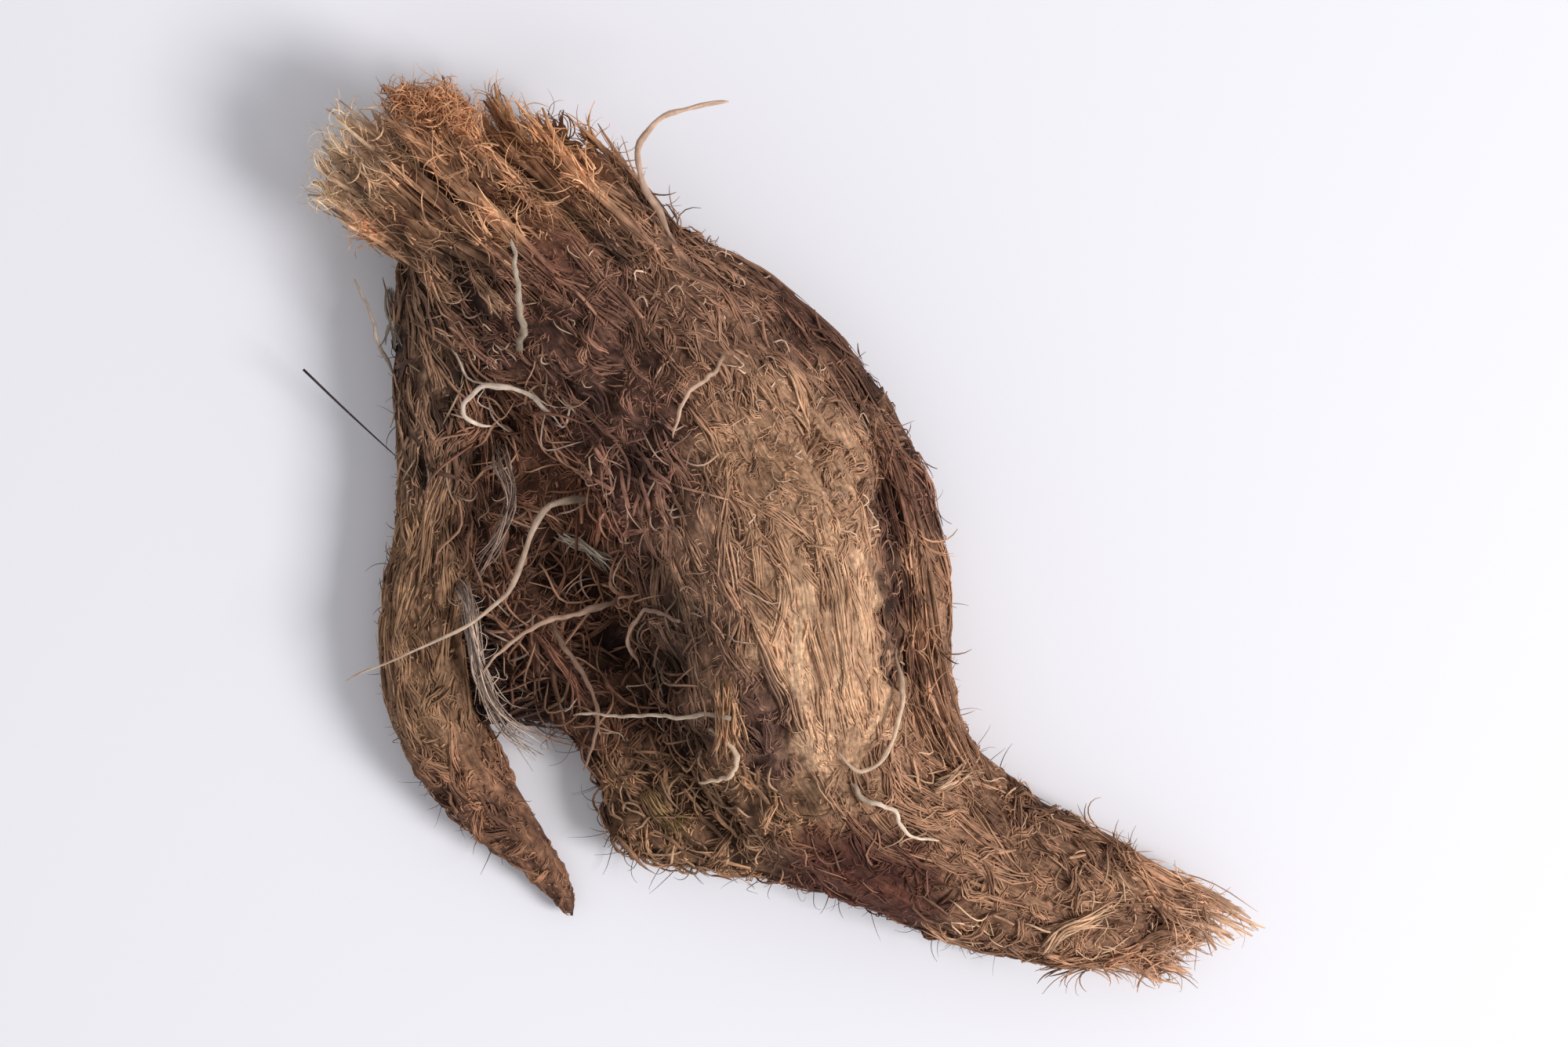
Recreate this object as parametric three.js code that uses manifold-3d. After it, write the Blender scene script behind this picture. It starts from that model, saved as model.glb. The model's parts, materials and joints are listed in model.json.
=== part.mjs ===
// One dried jatamansi (spikenard) root: a forked rhizome in its fibrous coat, lying on its flattened
// underside, with the leaf bases of its crown, the torn fibres of its broken end and its wiry rootlets.
// Millimetres, +Z up. The table is the XY plane: the crown is at -X +Y and the broken end at +X -Y.
import * as THREE from "three";
import { mergeVertices } from "three/addons/utils/BufferGeometryUtils.js";
import Module from "manifold-3d";

const wasm = await Module();
wasm.setup();

// ---- Driving dimensions ----
const GAP = 0.35; // clearance kept between neighbouring pieces, and under all but the rhizome
const TABLE_SIZE = 180; // side of the block that trims the underside, larger than the root
const FOLD_DEPTH = 0.1; // depth of the lengthwise folds of the coat, as a share of the radius
const LOBE_ENDS = 0.6; // how much of each end of a lobe is rounded, in radians of the sphere it is bent from

// The rhizome is one solid of joined lobes. Each is bent along its middle line:
// [x, y, z, half width, half height] at each station.
const LOBES = {
  // crown, neck, thick felted body and lower end
  main: {
    sides: 24,
    rings: 34,
    foldPhase: 0.4,
    stations: [
      [-19.6, 21.6, 4.8, 6.2, 3.2],
      [-17.6, 19.0, 5.4, 7.6, 4.6],
      [-14.9, 15.8, 5.9, 7.7, 5.3],
      [-11.0, 12.0, 6.3, 7.3, 5.9],
      [-6.6, 7.6, 6.5, 7.7, 6.7],
      [-3.2, 2.6, 6.8, 8.6, 7.3],
      [-1.2, -3.2, 6.9, 8.9, 7.5],
      [-0.2, -9.0, 6.6, 8.5, 7.2],
      [1.6, -14.4, 5.6, 7.2, 6.1],
      [5.8, -18.6, 4.6, 6.0, 5.1],
      [11.4, -21.6, 3.9, 5.2, 4.3],
      [17.8, -23.9, 3.4, 4.7, 3.7],
      [24.0, -25.8, 2.9, 3.6, 2.8],
    ],
  },
  // the thin branch that forks off below the crown and tapers to a tip
  branch: {
    sides: 14,
    rings: 26,
    foldPhase: 1.7,
    stations: [
      [-20.6, 19.6, 4.4, 4.6, 3.4],
      [-21.8, 11.4, 3.6, 3.4, 3.3],
      [-22.1, 4.5, 2.9, 2.9, 3.0],
      [-22.8, -1.5, 2.6, 2.6, 2.8],
      [-23.5, -7.0, 2.6, 2.7, 2.9],
      [-23.0, -11.8, 2.5, 2.9, 2.8],
      [-20.8, -16.2, 2.2, 2.6, 2.5],
      [-18.0, -19.8, 1.8, 1.8, 1.9],
      [-15.4, -22.7, 1.3, 1.1, 1.3],
      [-13.8, -25.6, 0.9, 0.7, 0.9],
    ],
  },
  // the low web of matted roots in the fork
  web: {
    sides: 14,
    rings: 18,
    foldPhase: 2.9,
    stations: [
      [-17.0, 14.0, 3.6, 4.6, 3.2],
      [-16.2, 6.6, 2.8, 5.2, 3.0],
      [-15.6, 0.2, 2.5, 5.6, 2.8],
      [-13.8, -5.8, 2.4, 6.0, 2.6],
      [-10.2, -11.4, 2.4, 4.8, 2.6],
      [-7.2, -16.6, 2.4, 4.4, 2.5],
      [-5.4, -21.0, 2.2, 4.6, 2.3],
    ],
  },
  // the matted roots under the lower edge of the body
  skirt: {
    sides: 14,
    rings: 16,
    foldPhase: 5.3,
    stations: [
      [-11.8, -18.4, 1.9, 2.4, 2.1],
      [-7.0, -19.0, 2.3, 3.2, 2.5],
      [-1.4, -19.6, 2.7, 3.4, 3.0],
      [4.4, -20.8, 2.9, 3.5, 3.2],
      [10.4, -23.0, 2.8, 3.2, 3.0],
      [16.0, -25.2, 2.4, 2.4, 2.5],
    ],
  },
  // the darker flank along the outer side of the body
  flank: {
    sides: 14,
    rings: 20,
    foldPhase: 4.1,
    stations: [
      [-12.6, 21.6, 4.3, 2.7, 2.5],
      [-10.4, 17.2, 4.8, 3.4, 3.2],
      [-3.6, 13.0, 4.4, 3.7, 3.6],
      [1.7, 8.2, 4.0, 4.0, 3.9],
      [5.6, 2.2, 3.7, 3.8, 3.9],
      [7.4, -4.6, 3.4, 3.1, 3.6],
      [8.0, -11.0, 3.1, 2.8, 3.3],
      [10.6, -16.4, 2.9, 2.6, 3.1],
      [16.8, -20.6, 2.6, 2.5, 2.8],
    ],
  },
};

// Fans of flat fibrous strips. Each strip runs from a point on the feet line to a point on the tips curve,
// both in [x, y]. Heights are above the table, and arch lifts the middle of the fan. A fan with no foot
// height lies draped over the upper side of the rhizome.
const FANS = {
  upper_leaf_base: {
    count: 10,
    feet: [[-22.8, 16.0], [-5.8, 17.2]],
    tips: [[-30.3, 21.8], [-30.6, 31.4], [-13.4, 25.6]],
    tipHeight: 5.8,
    arch: 1.8,
    halfWidth: 0.95,
  },
  middle_leaf_base: {
    count: 8,
    feet: [[-23.8, 18.2], [-11.4, 20.2]],
    tips: [[-30.7, 22.2], [-29.2, 32.2], [-15.4, 26.8]],
    footHeight: 4.6,
    tipHeight: 4.2,
    arch: 0.7,
    halfWidth: 0.9,
  },
  lower_leaf_base: {
    count: 6,
    feet: [[-23.8, 18.6], [-13.0, 20.6]],
    tips: [[-29.8, 21.8], [-27.6, 31.2], [-16.2, 26.4]],
    footHeight: 2.4,
    tipHeight: 1.7,
    arch: 0.3,
    halfWidth: 0.9,
  },
  upper_torn_fibre: {
    count: 4,
    feet: [[20.6, -21.0], [19.6, -27.4]],
    tips: [[30.6, -26.2], [27.0, -26.4], [25.6, -28.9]],
    footHeight: 4.2,
    tipHeight: 2.8,
    arch: 0.6,
    halfWidth: 0.8,
  },
  lower_torn_fibre: {
    count: 3,
    feet: [[21.4, -23.2], [20.6, -27.2]],
    tips: [[28.6, -25.8], [27.6, -27.4], [25.2, -28.9]],
    footHeight: 1.9,
    tipHeight: 1.2,
    arch: 0.2,
    halfWidth: 0.8,
  },
};
const STRIP = {
  halfThickness: 0.45,
  thinning: 0.3, // share of the thickness lost from foot to tip
  taper: [0.6, 0.95, 1, 0.85, 0.4], // width at each station from foot to tip, as a share of the full width
  lift: 0.85, // height of a draped strip's middle above the rhizome
  widthSpread: 0.2, // the spreads are how far one strip may differ from the next, as shares
  lengthSpread: 0.07,
  tipHeightSpread: 0.5, // this one in millimetres
};

// The puff of soft frayed fibre on the crown's tips, in the same form as a lobe.
const CROWN_TUFT = [
  [-25.4, 27.0, 8.4, 1.2, 1.1],
  [-23.6, 27.6, 9.0, 1.9, 1.6],
  [-21.6, 26.6, 9.2, 1.9, 1.6],
  [-19.8, 25.2, 8.8, 1.2, 1.1],
];

// The long strip of old leaf sheath that runs down the flank, in the same form as a lobe.
const SHEATH_STRAP = [
  [5.4, 7.0, 7.9, 0.8, 0.5],
  [7.2, 3.4, 8.1, 1.2, 0.6],
  [8.6, -2.2, 7.8, 1.5, 0.7],
  [9.0, -7.6, 7.3, 1.5, 0.7],
  [9.3, -12.0, 6.8, 1.5, 0.7],
  [10.7, -15.8, 6.4, 1.2, 0.6],
  [13.2, -18.6, 6.3, 0.6, 0.4],
];

// Rootlets: the radii of the two ends, and [x, y, z] along each, from where it grows out of the rhizome.
const ROOTLETS = {
  curled_rootlet: {
    ends: [0.34, 0.24],
    path: [
      [-11.6, 2.2, 4.6],
      [-13.4, 5.4, 8.6],
      [-15.6, 7.8, 9.3],
      [-18.4, 8.8, 8.9],
      [-20.5, 8.0, 8.3],
      [-20.7, 6.6, 7.9],
      [-19.1, 6.3, 7.6],
    ],
  },
  long_pale_rootlet: {
    ends: [0.34, 0.16],
    path: [
      [-11.4, 1.0, 3.6],
      [-14.6, 1.7, 7.2],
      [-16.2, 0.2, 7.6],
      [-16.8, -2.6, 7.2],
      [-18.2, -5.2, 7.0],
      [-20.9, -6.9, 6.9],
      [-24.4, -8.3, 6.7],
      [-28.2, -10.1, 5.0],
    ],
  },
  forked_rootlet: {
    ends: [0.36, 0.2],
    path: [
      [-9.0, -4.4, 3.6],
      [-11.9, -5.3, 6.4],
      [-14.6, -6.0, 6.2],
      [-17.2, -7.2, 5.8],
      [-19.6, -9.6, 5.8],
    ],
  },
  straight_rootlet: {
    ends: [0.24, 0.18],
    path: [
      [-1.6, -11.4, 10.6],
      [-4.0, -11.9, 12.8],
      [-8.8, -12.2, 9.4],
      [-13.4, -12.2, 6.4],
    ],
  },
  hooked_rootlet: {
    ends: [0.34, 0.24],
    path: [
      [-4.4, -12.6, 9.0],
      [-3.8, -13.4, 12.3],
      [-3.0, -14.6, 12.4],
      [-3.5, -15.9, 11.6],
      [-5.2, -16.3, 10.4],
    ],
  },
  looped_rootlet: {
    ends: [0.3, 0.2],
    path: [
      [6.0, -7.4, 9.4],
      [7.4, -10.2, 11.6],
      [6.9, -13.2, 12.0],
      [5.6, -15.4, 11.8],
      [4.2, -15.6, 11.8],
      [3.6, -14.4, 12.4],
    ],
  },
  zigzag_rootlet: {
    ends: [0.28, 0.18],
    path: [
      [4.4, -16.0, 8.2],
      [5.0, -17.4, 11.2],
      [6.8, -18.0, 10.9],
      [7.4, -19.4, 10.6],
      [9.2, -20.0, 9.9],
    ],
  },
  small_curl_rootlet: {
    ends: [0.28, 0.18],
    path: [
      [-8.2, -9.4, 4.4],
      [-9.9, -8.2, 8.2],
      [-9.8, -6.4, 9.2],
      [-8.6, -5.4, 11.0],
      [-7.2, -5.8, 12.2],
    ],
  },
  body_rootlet: {
    ends: [0.28, 0.2],
    path: [
      [-3.8, 10.2, 10.4],
      [-4.7, 9.3, 13.6],
      [-6.2, 7.8, 14.5],
      [-6.8, 5.8, 14.8],
    ],
  },
  neck_rootlet: {
    ends: [0.28, 0.2],
    path: [
      [-16.4, 11.2, 9.0],
      [-16.5, 12.4, 12.4],
      [-16.7, 14.6, 13.0],
      [-17.0, 17.4, 12.9],
    ],
  },
  crown_loop_rootlet: {
    ends: [0.42, 0.3],
    path: [
      [-7.6, 16.6, 5.4],
      [-7.4, 18.8, 9.6],
      [-9.0, 21.4, 10.4],
      [-9.4, 24.2, 10.0],
      [-7.4, 26.1, 9.2],
      [-3.9, 26.8, 8.0],
    ],
  },
  valley_rootlet_1: {
    ends: [0.3, 0.2],
    path: [
      [-18.4, 5.2, 3.8],
      [-18.3, 3.9, 6.8],
      [-17.5, 2.0, 6.6],
      [-18.3, -0.6, 6.4],
      [-19.4, -2.4, 6.6],
    ],
  },
  valley_rootlet_2: {
    ends: [0.32, 0.2],
    path: [
      [-15.4, -4.8, 3.0],
      [-14.6, -7.4, 5.8],
      [-12.9, -9.6, 5.8],
      [-11.9, -12.4, 5.8],
      [-12.8, -15.6, 5.0],
    ],
  },
  branch_rootlet: {
    ends: [0.32, 0.2],
    path: [
      [-21.4, -3.6, 3.6],
      [-20.3, -4.6, 6.0],
      [-20.1, -7.4, 5.9],
      [-19.4, -10.4, 5.2],
      [-18.0, -13.0, 3.6],
      [-16.4, -14.2, 1.8],
    ],
  },
  edge_rootlet: {
    ends: [0.26, 0.18],
    path: [
      [-24.4, 9.6, 3.4],
      [-26.3, 11.0, 4.0],
      [-26.5, 13.2, 4.8],
      [-27.6, 15.4, 4.6],
    ],
  },
};

// ---- Solids ----

// A closed mesh as a solid that can be joined and cut.
function solidOf(geometry) {
  geometry.deleteAttribute("normal");
  geometry.deleteAttribute("uv");
  const closed = mergeVertices(geometry, 1e-4);
  const vertProperties = new Float32Array(closed.attributes.position.array);
  const triVerts = new Uint32Array(closed.index.array);
  return new wasm.Manifold(new wasm.Mesh({ numProp: 3, vertProperties, triVerts }));
}

function meshOf(name, solid, material) {
  const { vertProperties, triVerts } = solid.getMesh();
  const geometry = new THREE.BufferGeometry();
  geometry.setAttribute("position", new THREE.BufferAttribute(vertProperties, 3));
  geometry.setIndex(new THREE.BufferAttribute(triVerts, 1));
  geometry.computeVertexNormals();
  const mesh = new THREE.Mesh(geometry, material);
  mesh.name = name;
  return mesh;
}

// Lengthwise folds and slow swellings, from -1 to 1, at an angle round a body and a share along it.
function folds(angle, along, phase) {
  return (
    0.45 * Math.sin(5 * angle + 4 * along + phase) +
    0.3 * Math.sin(8 * angle - 7 * along + 2 * phase) +
    0.25 * Math.sin(17 * along + 2 * angle + phase)
  );
}

// A long round-ended body bent along stations of [x, y, z, half width, half height]. A level body keeps its
// width parallel to the table, and any other is carried along without twist. roundEnds is how much of the
// sphere at either end, in radians, is drawn in to a round tip. grow thickens the body all round.
function bend(stations, shape) {
  const { sides, rings, roundEnds, foldDepth = 0, foldPhase = 0, level = true, grow = 0 } = shape;
  const spine = new THREE.CatmullRomCurve3(stations.map(([x, y, z]) => new THREE.Vector3(x, y, z)));
  const girth = new THREE.CatmullRomCurve3(stations.map(([, , , w, h]) => new THREE.Vector3(w, h, 0)));
  const geometry = new THREE.SphereGeometry(1, sides, rings);
  const position = geometry.attributes.position;
  const side = new THREE.Vector3(0, 0, 0);
  for (let ring = 0; ring <= rings; ring++) {
    const polar = (Math.PI * ring) / rings;
    const along = (1 - Math.cos(polar)) / 2;
    const tangent = spine.getTangent(along);
    if (level || ring === 0) side.set(-tangent.y, tangent.x, 0);
    side.addScaledVector(tangent, -side.dot(tangent)).normalize();
    const up = tangent.clone().cross(side);
    const fromEnd = Math.min(polar, Math.PI - polar);
    const rounding = Math.sin(Math.min(1, fromEnd / roundEnds) * (Math.PI / 2));
    const centre = spine.getPoint(along).addScaledVector(tangent, -grow * Math.cos(polar));
    const { x: halfWidth, y: halfHeight } = girth.getPoint(along);
    for (let corner = 0; corner <= sides; corner++) {
      const angle = (2 * Math.PI * (corner % sides)) / sides;
      const size = rounding * (1 + foldDepth * folds(angle, along, foldPhase));
      const point = centre
        .clone()
        .addScaledVector(side, -Math.cos(angle) * (halfWidth * size + grow * rounding))
        .addScaledVector(up, Math.sin(angle) * (halfHeight * size + grow * rounding));
      position.setXYZ(ring * (sides + 1) + corner, point.x, point.y, point.z);
    }
  }
  return solidOf(geometry);
}

// Everything under a level, for flattening the underside of what lies on the table.
function blockBelow(top) {
  const block = new THREE.BoxGeometry(TABLE_SIZE, TABLE_SIZE, TABLE_SIZE);
  block.translate(0, 0, top - TABLE_SIZE / 2);
  return solidOf(block);
}

function rhizome(grow) {
  const lobes = Object.values(LOBES).map(({ stations, ...shape }) =>
    bend(stations, { ...shape, roundEnds: LOBE_ENDS, foldDepth: FOLD_DEPTH, grow }),
  );
  return lobes.reduce((whole, lobe) => whole.add(lobe)).subtract(blockBelow(0));
}

function largestPiece(solid) {
  return solid.decompose().reduce((a, b) => (a.volume() >= b.volume() ? a : b));
}

// ---- The rhizome, and the model that gathers the pieces ----

const coat = new THREE.MeshStandardMaterial({ color: 0x82604c, roughness: 0.9, metalness: 0 });
const leafSheath = new THREE.MeshStandardMaterial({ color: 0x9a6f4f, roughness: 0.8, metalness: 0 });
const rootSkin = new THREE.MeshStandardMaterial({ color: 0xb79c82, roughness: 0.75, metalness: 0 });

const rhizomeMesh = meshOf("rhizome", rhizome(0), coat);
const model = new THREE.Group();
model.add(rhizomeMesh);
let taken = rhizome(GAP).add(blockBelow(GAP)); // what the next piece has to stay clear of

// Adds a piece, cut clear of those before it. shape(grow) makes its solid.
function addPiece(name, shape, material) {
  const piece = largestPiece(shape(0).subtract(taken));
  model.add(meshOf(name, piece, material));
  taken = taken.add(shape(GAP));
}

// ---- Fibrous strips ----

// The height of the rhizome's upper side at a place on the table, or 0 beside it.
const down = new THREE.Raycaster();
function upperSide(x, y) {
  down.set(new THREE.Vector3(x, y, TABLE_SIZE), new THREE.Vector3(0, 0, -1));
  const [hit] = down.intersectObject(rhizomeMesh);
  return hit ? hit.point.z : 0;
}

// A fixed value between -1 and 1 that differs from strip to strip and from property to property.
function scatter(strip, property) {
  return Math.sin(12.9 * strip + 7.7 * property) * Math.cos(4.1 * strip + 1.3 * property);
}

function strip(fan, index) {
  const share = index / (fan.count - 1);
  const foot = new THREE.Vector2(...fan.feet[0]).lerp(new THREE.Vector2(...fan.feet[1]), share);
  const tips = new THREE.QuadraticBezierCurve(...fan.tips.map((at) => new THREE.Vector2(...at)));
  const tip = tips.getPoint(share);
  const archHeight = fan.arch * Math.sin(Math.PI * share);
  const tipHeight = fan.tipHeight + archHeight + STRIP.tipHeightSpread * scatter(index, 1);
  const reach = 1 + STRIP.lengthSpread * scatter(index, 2);
  const halfWidth = fan.halfWidth * (1 + STRIP.widthSpread * scatter(index, 3));
  const draped = fan.footHeight === undefined;
  const footHeight = draped ? upperSide(foot.x, foot.y) + STRIP.lift : fan.footHeight;
  const stations = STRIP.taper.map((taper, i) => {
    const along = i / (STRIP.taper.length - 1);
    const { x, y } = foot.clone().lerp(tip, along * reach);
    const straight = THREE.MathUtils.lerp(footHeight, tipHeight, along);
    const height = draped ? Math.max(straight, upperSide(x, y) + STRIP.lift) : straight;
    return [x, y, height, halfWidth * taper, STRIP.halfThickness * (1 - STRIP.thinning * along)];
  });
  const shape = { sides: 8, rings: 8, roundEnds: 0.5, foldDepth: 0.12, foldPhase: index };
  return (grow) => bend(stations, { ...shape, grow });
}

for (const [name, fan] of Object.entries(FANS)) {
  for (let i = 0; i < fan.count; i++) {
    addPiece(`${name}_${String(i + 1).padStart(2, "0")}`, strip(fan, i), leafSheath);
  }
}

const tuft = (grow) => bend(CROWN_TUFT, { sides: 12, rings: 10, roundEnds: 1.1, foldDepth: 0.14, grow });
addPiece("crown_tuft", tuft, leafSheath);

const strap = (grow) => bend(SHEATH_STRAP, { sides: 10, rings: 16, roundEnds: 0.4, foldDepth: 0.08, grow });
addPiece("sheath_strap", strap, leafSheath);

// ---- Rootlets ----

function rootlet({ ends: [start, end], path }) {
  const stations = path.map(([x, y, z], i) => {
    const radius = THREE.MathUtils.lerp(start, end, i / (path.length - 1));
    return [x, y, z, radius, radius];
  });
  const rings = 3 * path.length;
  return (grow) => bend(stations, { sides: 6, rings, roundEnds: 0.3, level: false, grow });
}

for (const [name, shape] of Object.entries(ROOTLETS)) {
  addPiece(name, rootlet(shape), rootSkin);
}

// ---- The origin: the middle of the footprint, on the table ----

const extent = new THREE.Box3().setFromObject(model);
const middle = extent.getCenter(new THREE.Vector3());
model.position.set(-middle.x, -middle.y, 0);

const jatamansiRoot = new THREE.Group();
jatamansiRoot.add(model);
export default jatamansiRoot;
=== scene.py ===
import heapq
import json
import math

import bpy
import numpy as np
from mathutils import Matrix, Vector, noise
from mathutils.bvhtree import BVHTree

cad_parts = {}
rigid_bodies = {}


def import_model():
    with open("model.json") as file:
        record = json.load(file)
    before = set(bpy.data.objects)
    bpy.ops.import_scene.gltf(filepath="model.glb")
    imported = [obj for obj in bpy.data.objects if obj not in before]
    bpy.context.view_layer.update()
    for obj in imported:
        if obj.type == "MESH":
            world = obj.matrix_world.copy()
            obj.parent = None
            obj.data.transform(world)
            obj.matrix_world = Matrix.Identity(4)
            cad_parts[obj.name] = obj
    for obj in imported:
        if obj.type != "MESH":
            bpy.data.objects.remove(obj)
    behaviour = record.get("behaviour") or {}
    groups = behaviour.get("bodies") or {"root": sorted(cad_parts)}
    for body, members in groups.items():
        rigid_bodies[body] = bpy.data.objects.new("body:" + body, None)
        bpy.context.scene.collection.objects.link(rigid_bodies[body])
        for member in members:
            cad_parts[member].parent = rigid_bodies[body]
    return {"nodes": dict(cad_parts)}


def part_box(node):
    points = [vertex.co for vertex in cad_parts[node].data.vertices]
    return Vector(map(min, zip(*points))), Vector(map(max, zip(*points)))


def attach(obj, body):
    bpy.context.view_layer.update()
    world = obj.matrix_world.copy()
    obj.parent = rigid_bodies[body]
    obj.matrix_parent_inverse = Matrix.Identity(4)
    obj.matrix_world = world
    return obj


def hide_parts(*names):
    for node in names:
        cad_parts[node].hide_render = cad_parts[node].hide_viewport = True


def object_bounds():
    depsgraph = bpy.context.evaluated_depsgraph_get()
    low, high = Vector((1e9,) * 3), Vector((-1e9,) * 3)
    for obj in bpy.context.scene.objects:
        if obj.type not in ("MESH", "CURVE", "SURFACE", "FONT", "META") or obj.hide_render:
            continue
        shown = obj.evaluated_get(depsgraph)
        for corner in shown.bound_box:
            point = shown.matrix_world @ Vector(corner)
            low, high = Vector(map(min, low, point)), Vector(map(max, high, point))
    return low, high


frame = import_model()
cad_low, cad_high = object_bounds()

MM = 0.001
SEED = 41
FULL_TURN = 2 * np.pi
TABLE_GAP = 0.03  # no strand comes lower than this over the table

# ---- Form: the middle lines of the rhizome ----

# The CAD model is centred on its footprint, which moves its own working origin to this place.
WORKING_ORIGIN = np.array([0.078, -0.038, 0.0])

# [x, y, z, half width] from the crown down, for each lobe of the rhizome. They give the coat its grain.
GRAIN_LINES = {
    "main": [
        [-27.0, 27.0, 5.2, 7.0], [-20.6, 21.6, 4.8, 6.4], [-14.9, 15.8, 5.9, 7.7], [-11.0, 12.0, 6.3, 7.3],
        [-6.6, 7.6, 6.5, 7.7], [-3.2, 2.6, 6.8, 8.6], [-1.2, -3.2, 6.9, 8.9], [-0.2, -9.0, 6.6, 8.5],
        [1.6, -14.4, 5.6, 7.2], [5.8, -18.6, 4.6, 6.0], [11.4, -21.6, 3.9, 5.2], [17.8, -23.9, 3.4, 4.7],
        [24.0, -25.8, 2.9, 3.6], [30.0, -27.0, 2.4, 3.4],
    ],
    "branch": [
        [-28.0, 23.0, 4.6, 4.4], [-22.6, 15.0, 4.2, 4.2], [-21.8, 11.4, 3.6, 3.4], [-22.1, 4.5, 2.9, 2.9],
        [-22.8, -1.5, 2.6, 2.6], [-23.5, -7.0, 2.6, 2.7], [-23.0, -11.8, 2.5, 2.9], [-20.8, -16.2, 2.2, 2.6],
        [-18.0, -19.8, 1.8, 1.8], [-15.4, -22.7, 1.3, 1.1], [-13.8, -25.6, 0.9, 0.7],
    ],
    "web": [
        [-17.0, 14.0, 3.6, 4.6], [-16.2, 6.6, 2.8, 5.2], [-15.6, 0.2, 2.5, 5.6], [-13.8, -5.8, 2.4, 6.0],
        [-10.2, -11.4, 2.4, 4.8], [-7.2, -16.6, 2.4, 4.4], [-5.4, -21.0, 2.2, 4.6],
    ],
    "skirt": [
        [-11.8, -18.4, 1.9, 2.4], [-7.0, -19.0, 2.3, 3.2], [-1.4, -19.6, 2.7, 3.4], [4.4, -20.8, 2.9, 3.5],
        [10.4, -23.0, 2.8, 3.2], [16.0, -25.2, 2.4, 2.4],
    ],
    "flank": [
        [-12.6, 21.6, 4.3, 2.7], [-10.4, 17.2, 4.8, 3.4], [-3.6, 13.0, 4.4, 3.7], [1.7, 8.2, 4.0, 4.0],
        [5.6, 2.2, 3.7, 3.8], [7.4, -4.6, 3.4, 3.1], [8.0, -11.0, 3.1, 2.8], [10.6, -16.4, 2.9, 2.6],
        [16.8, -20.6, 2.6, 2.5],
    ],
}
GRAIN_STEP = 0.8  # spacing of the places kept along each middle line

# ---- Looks: how the coat differs from place to place ----

# The values of a zone, in the order of its row: reach, the radius of each of its places; tangle, how far
# fibres stray from the grain, in radians; wave, the side to side swing of a tuft; length, a share of the
# layer's length; lift, how far tufts stand off; locks, how thick parallel locks of fibre lie there, and
# tufts, how thick tangled ones do; rise, how far the skin stands out or sinks in; core, how light the skin
# under the coat is, from dark to light; pits, how deep the small pits between the tufts are.
ZONE_VALUES = ("reach", "tangle", "wave", "length", "lift", "locks", "tufts", "rise", "core", "pits")
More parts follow.
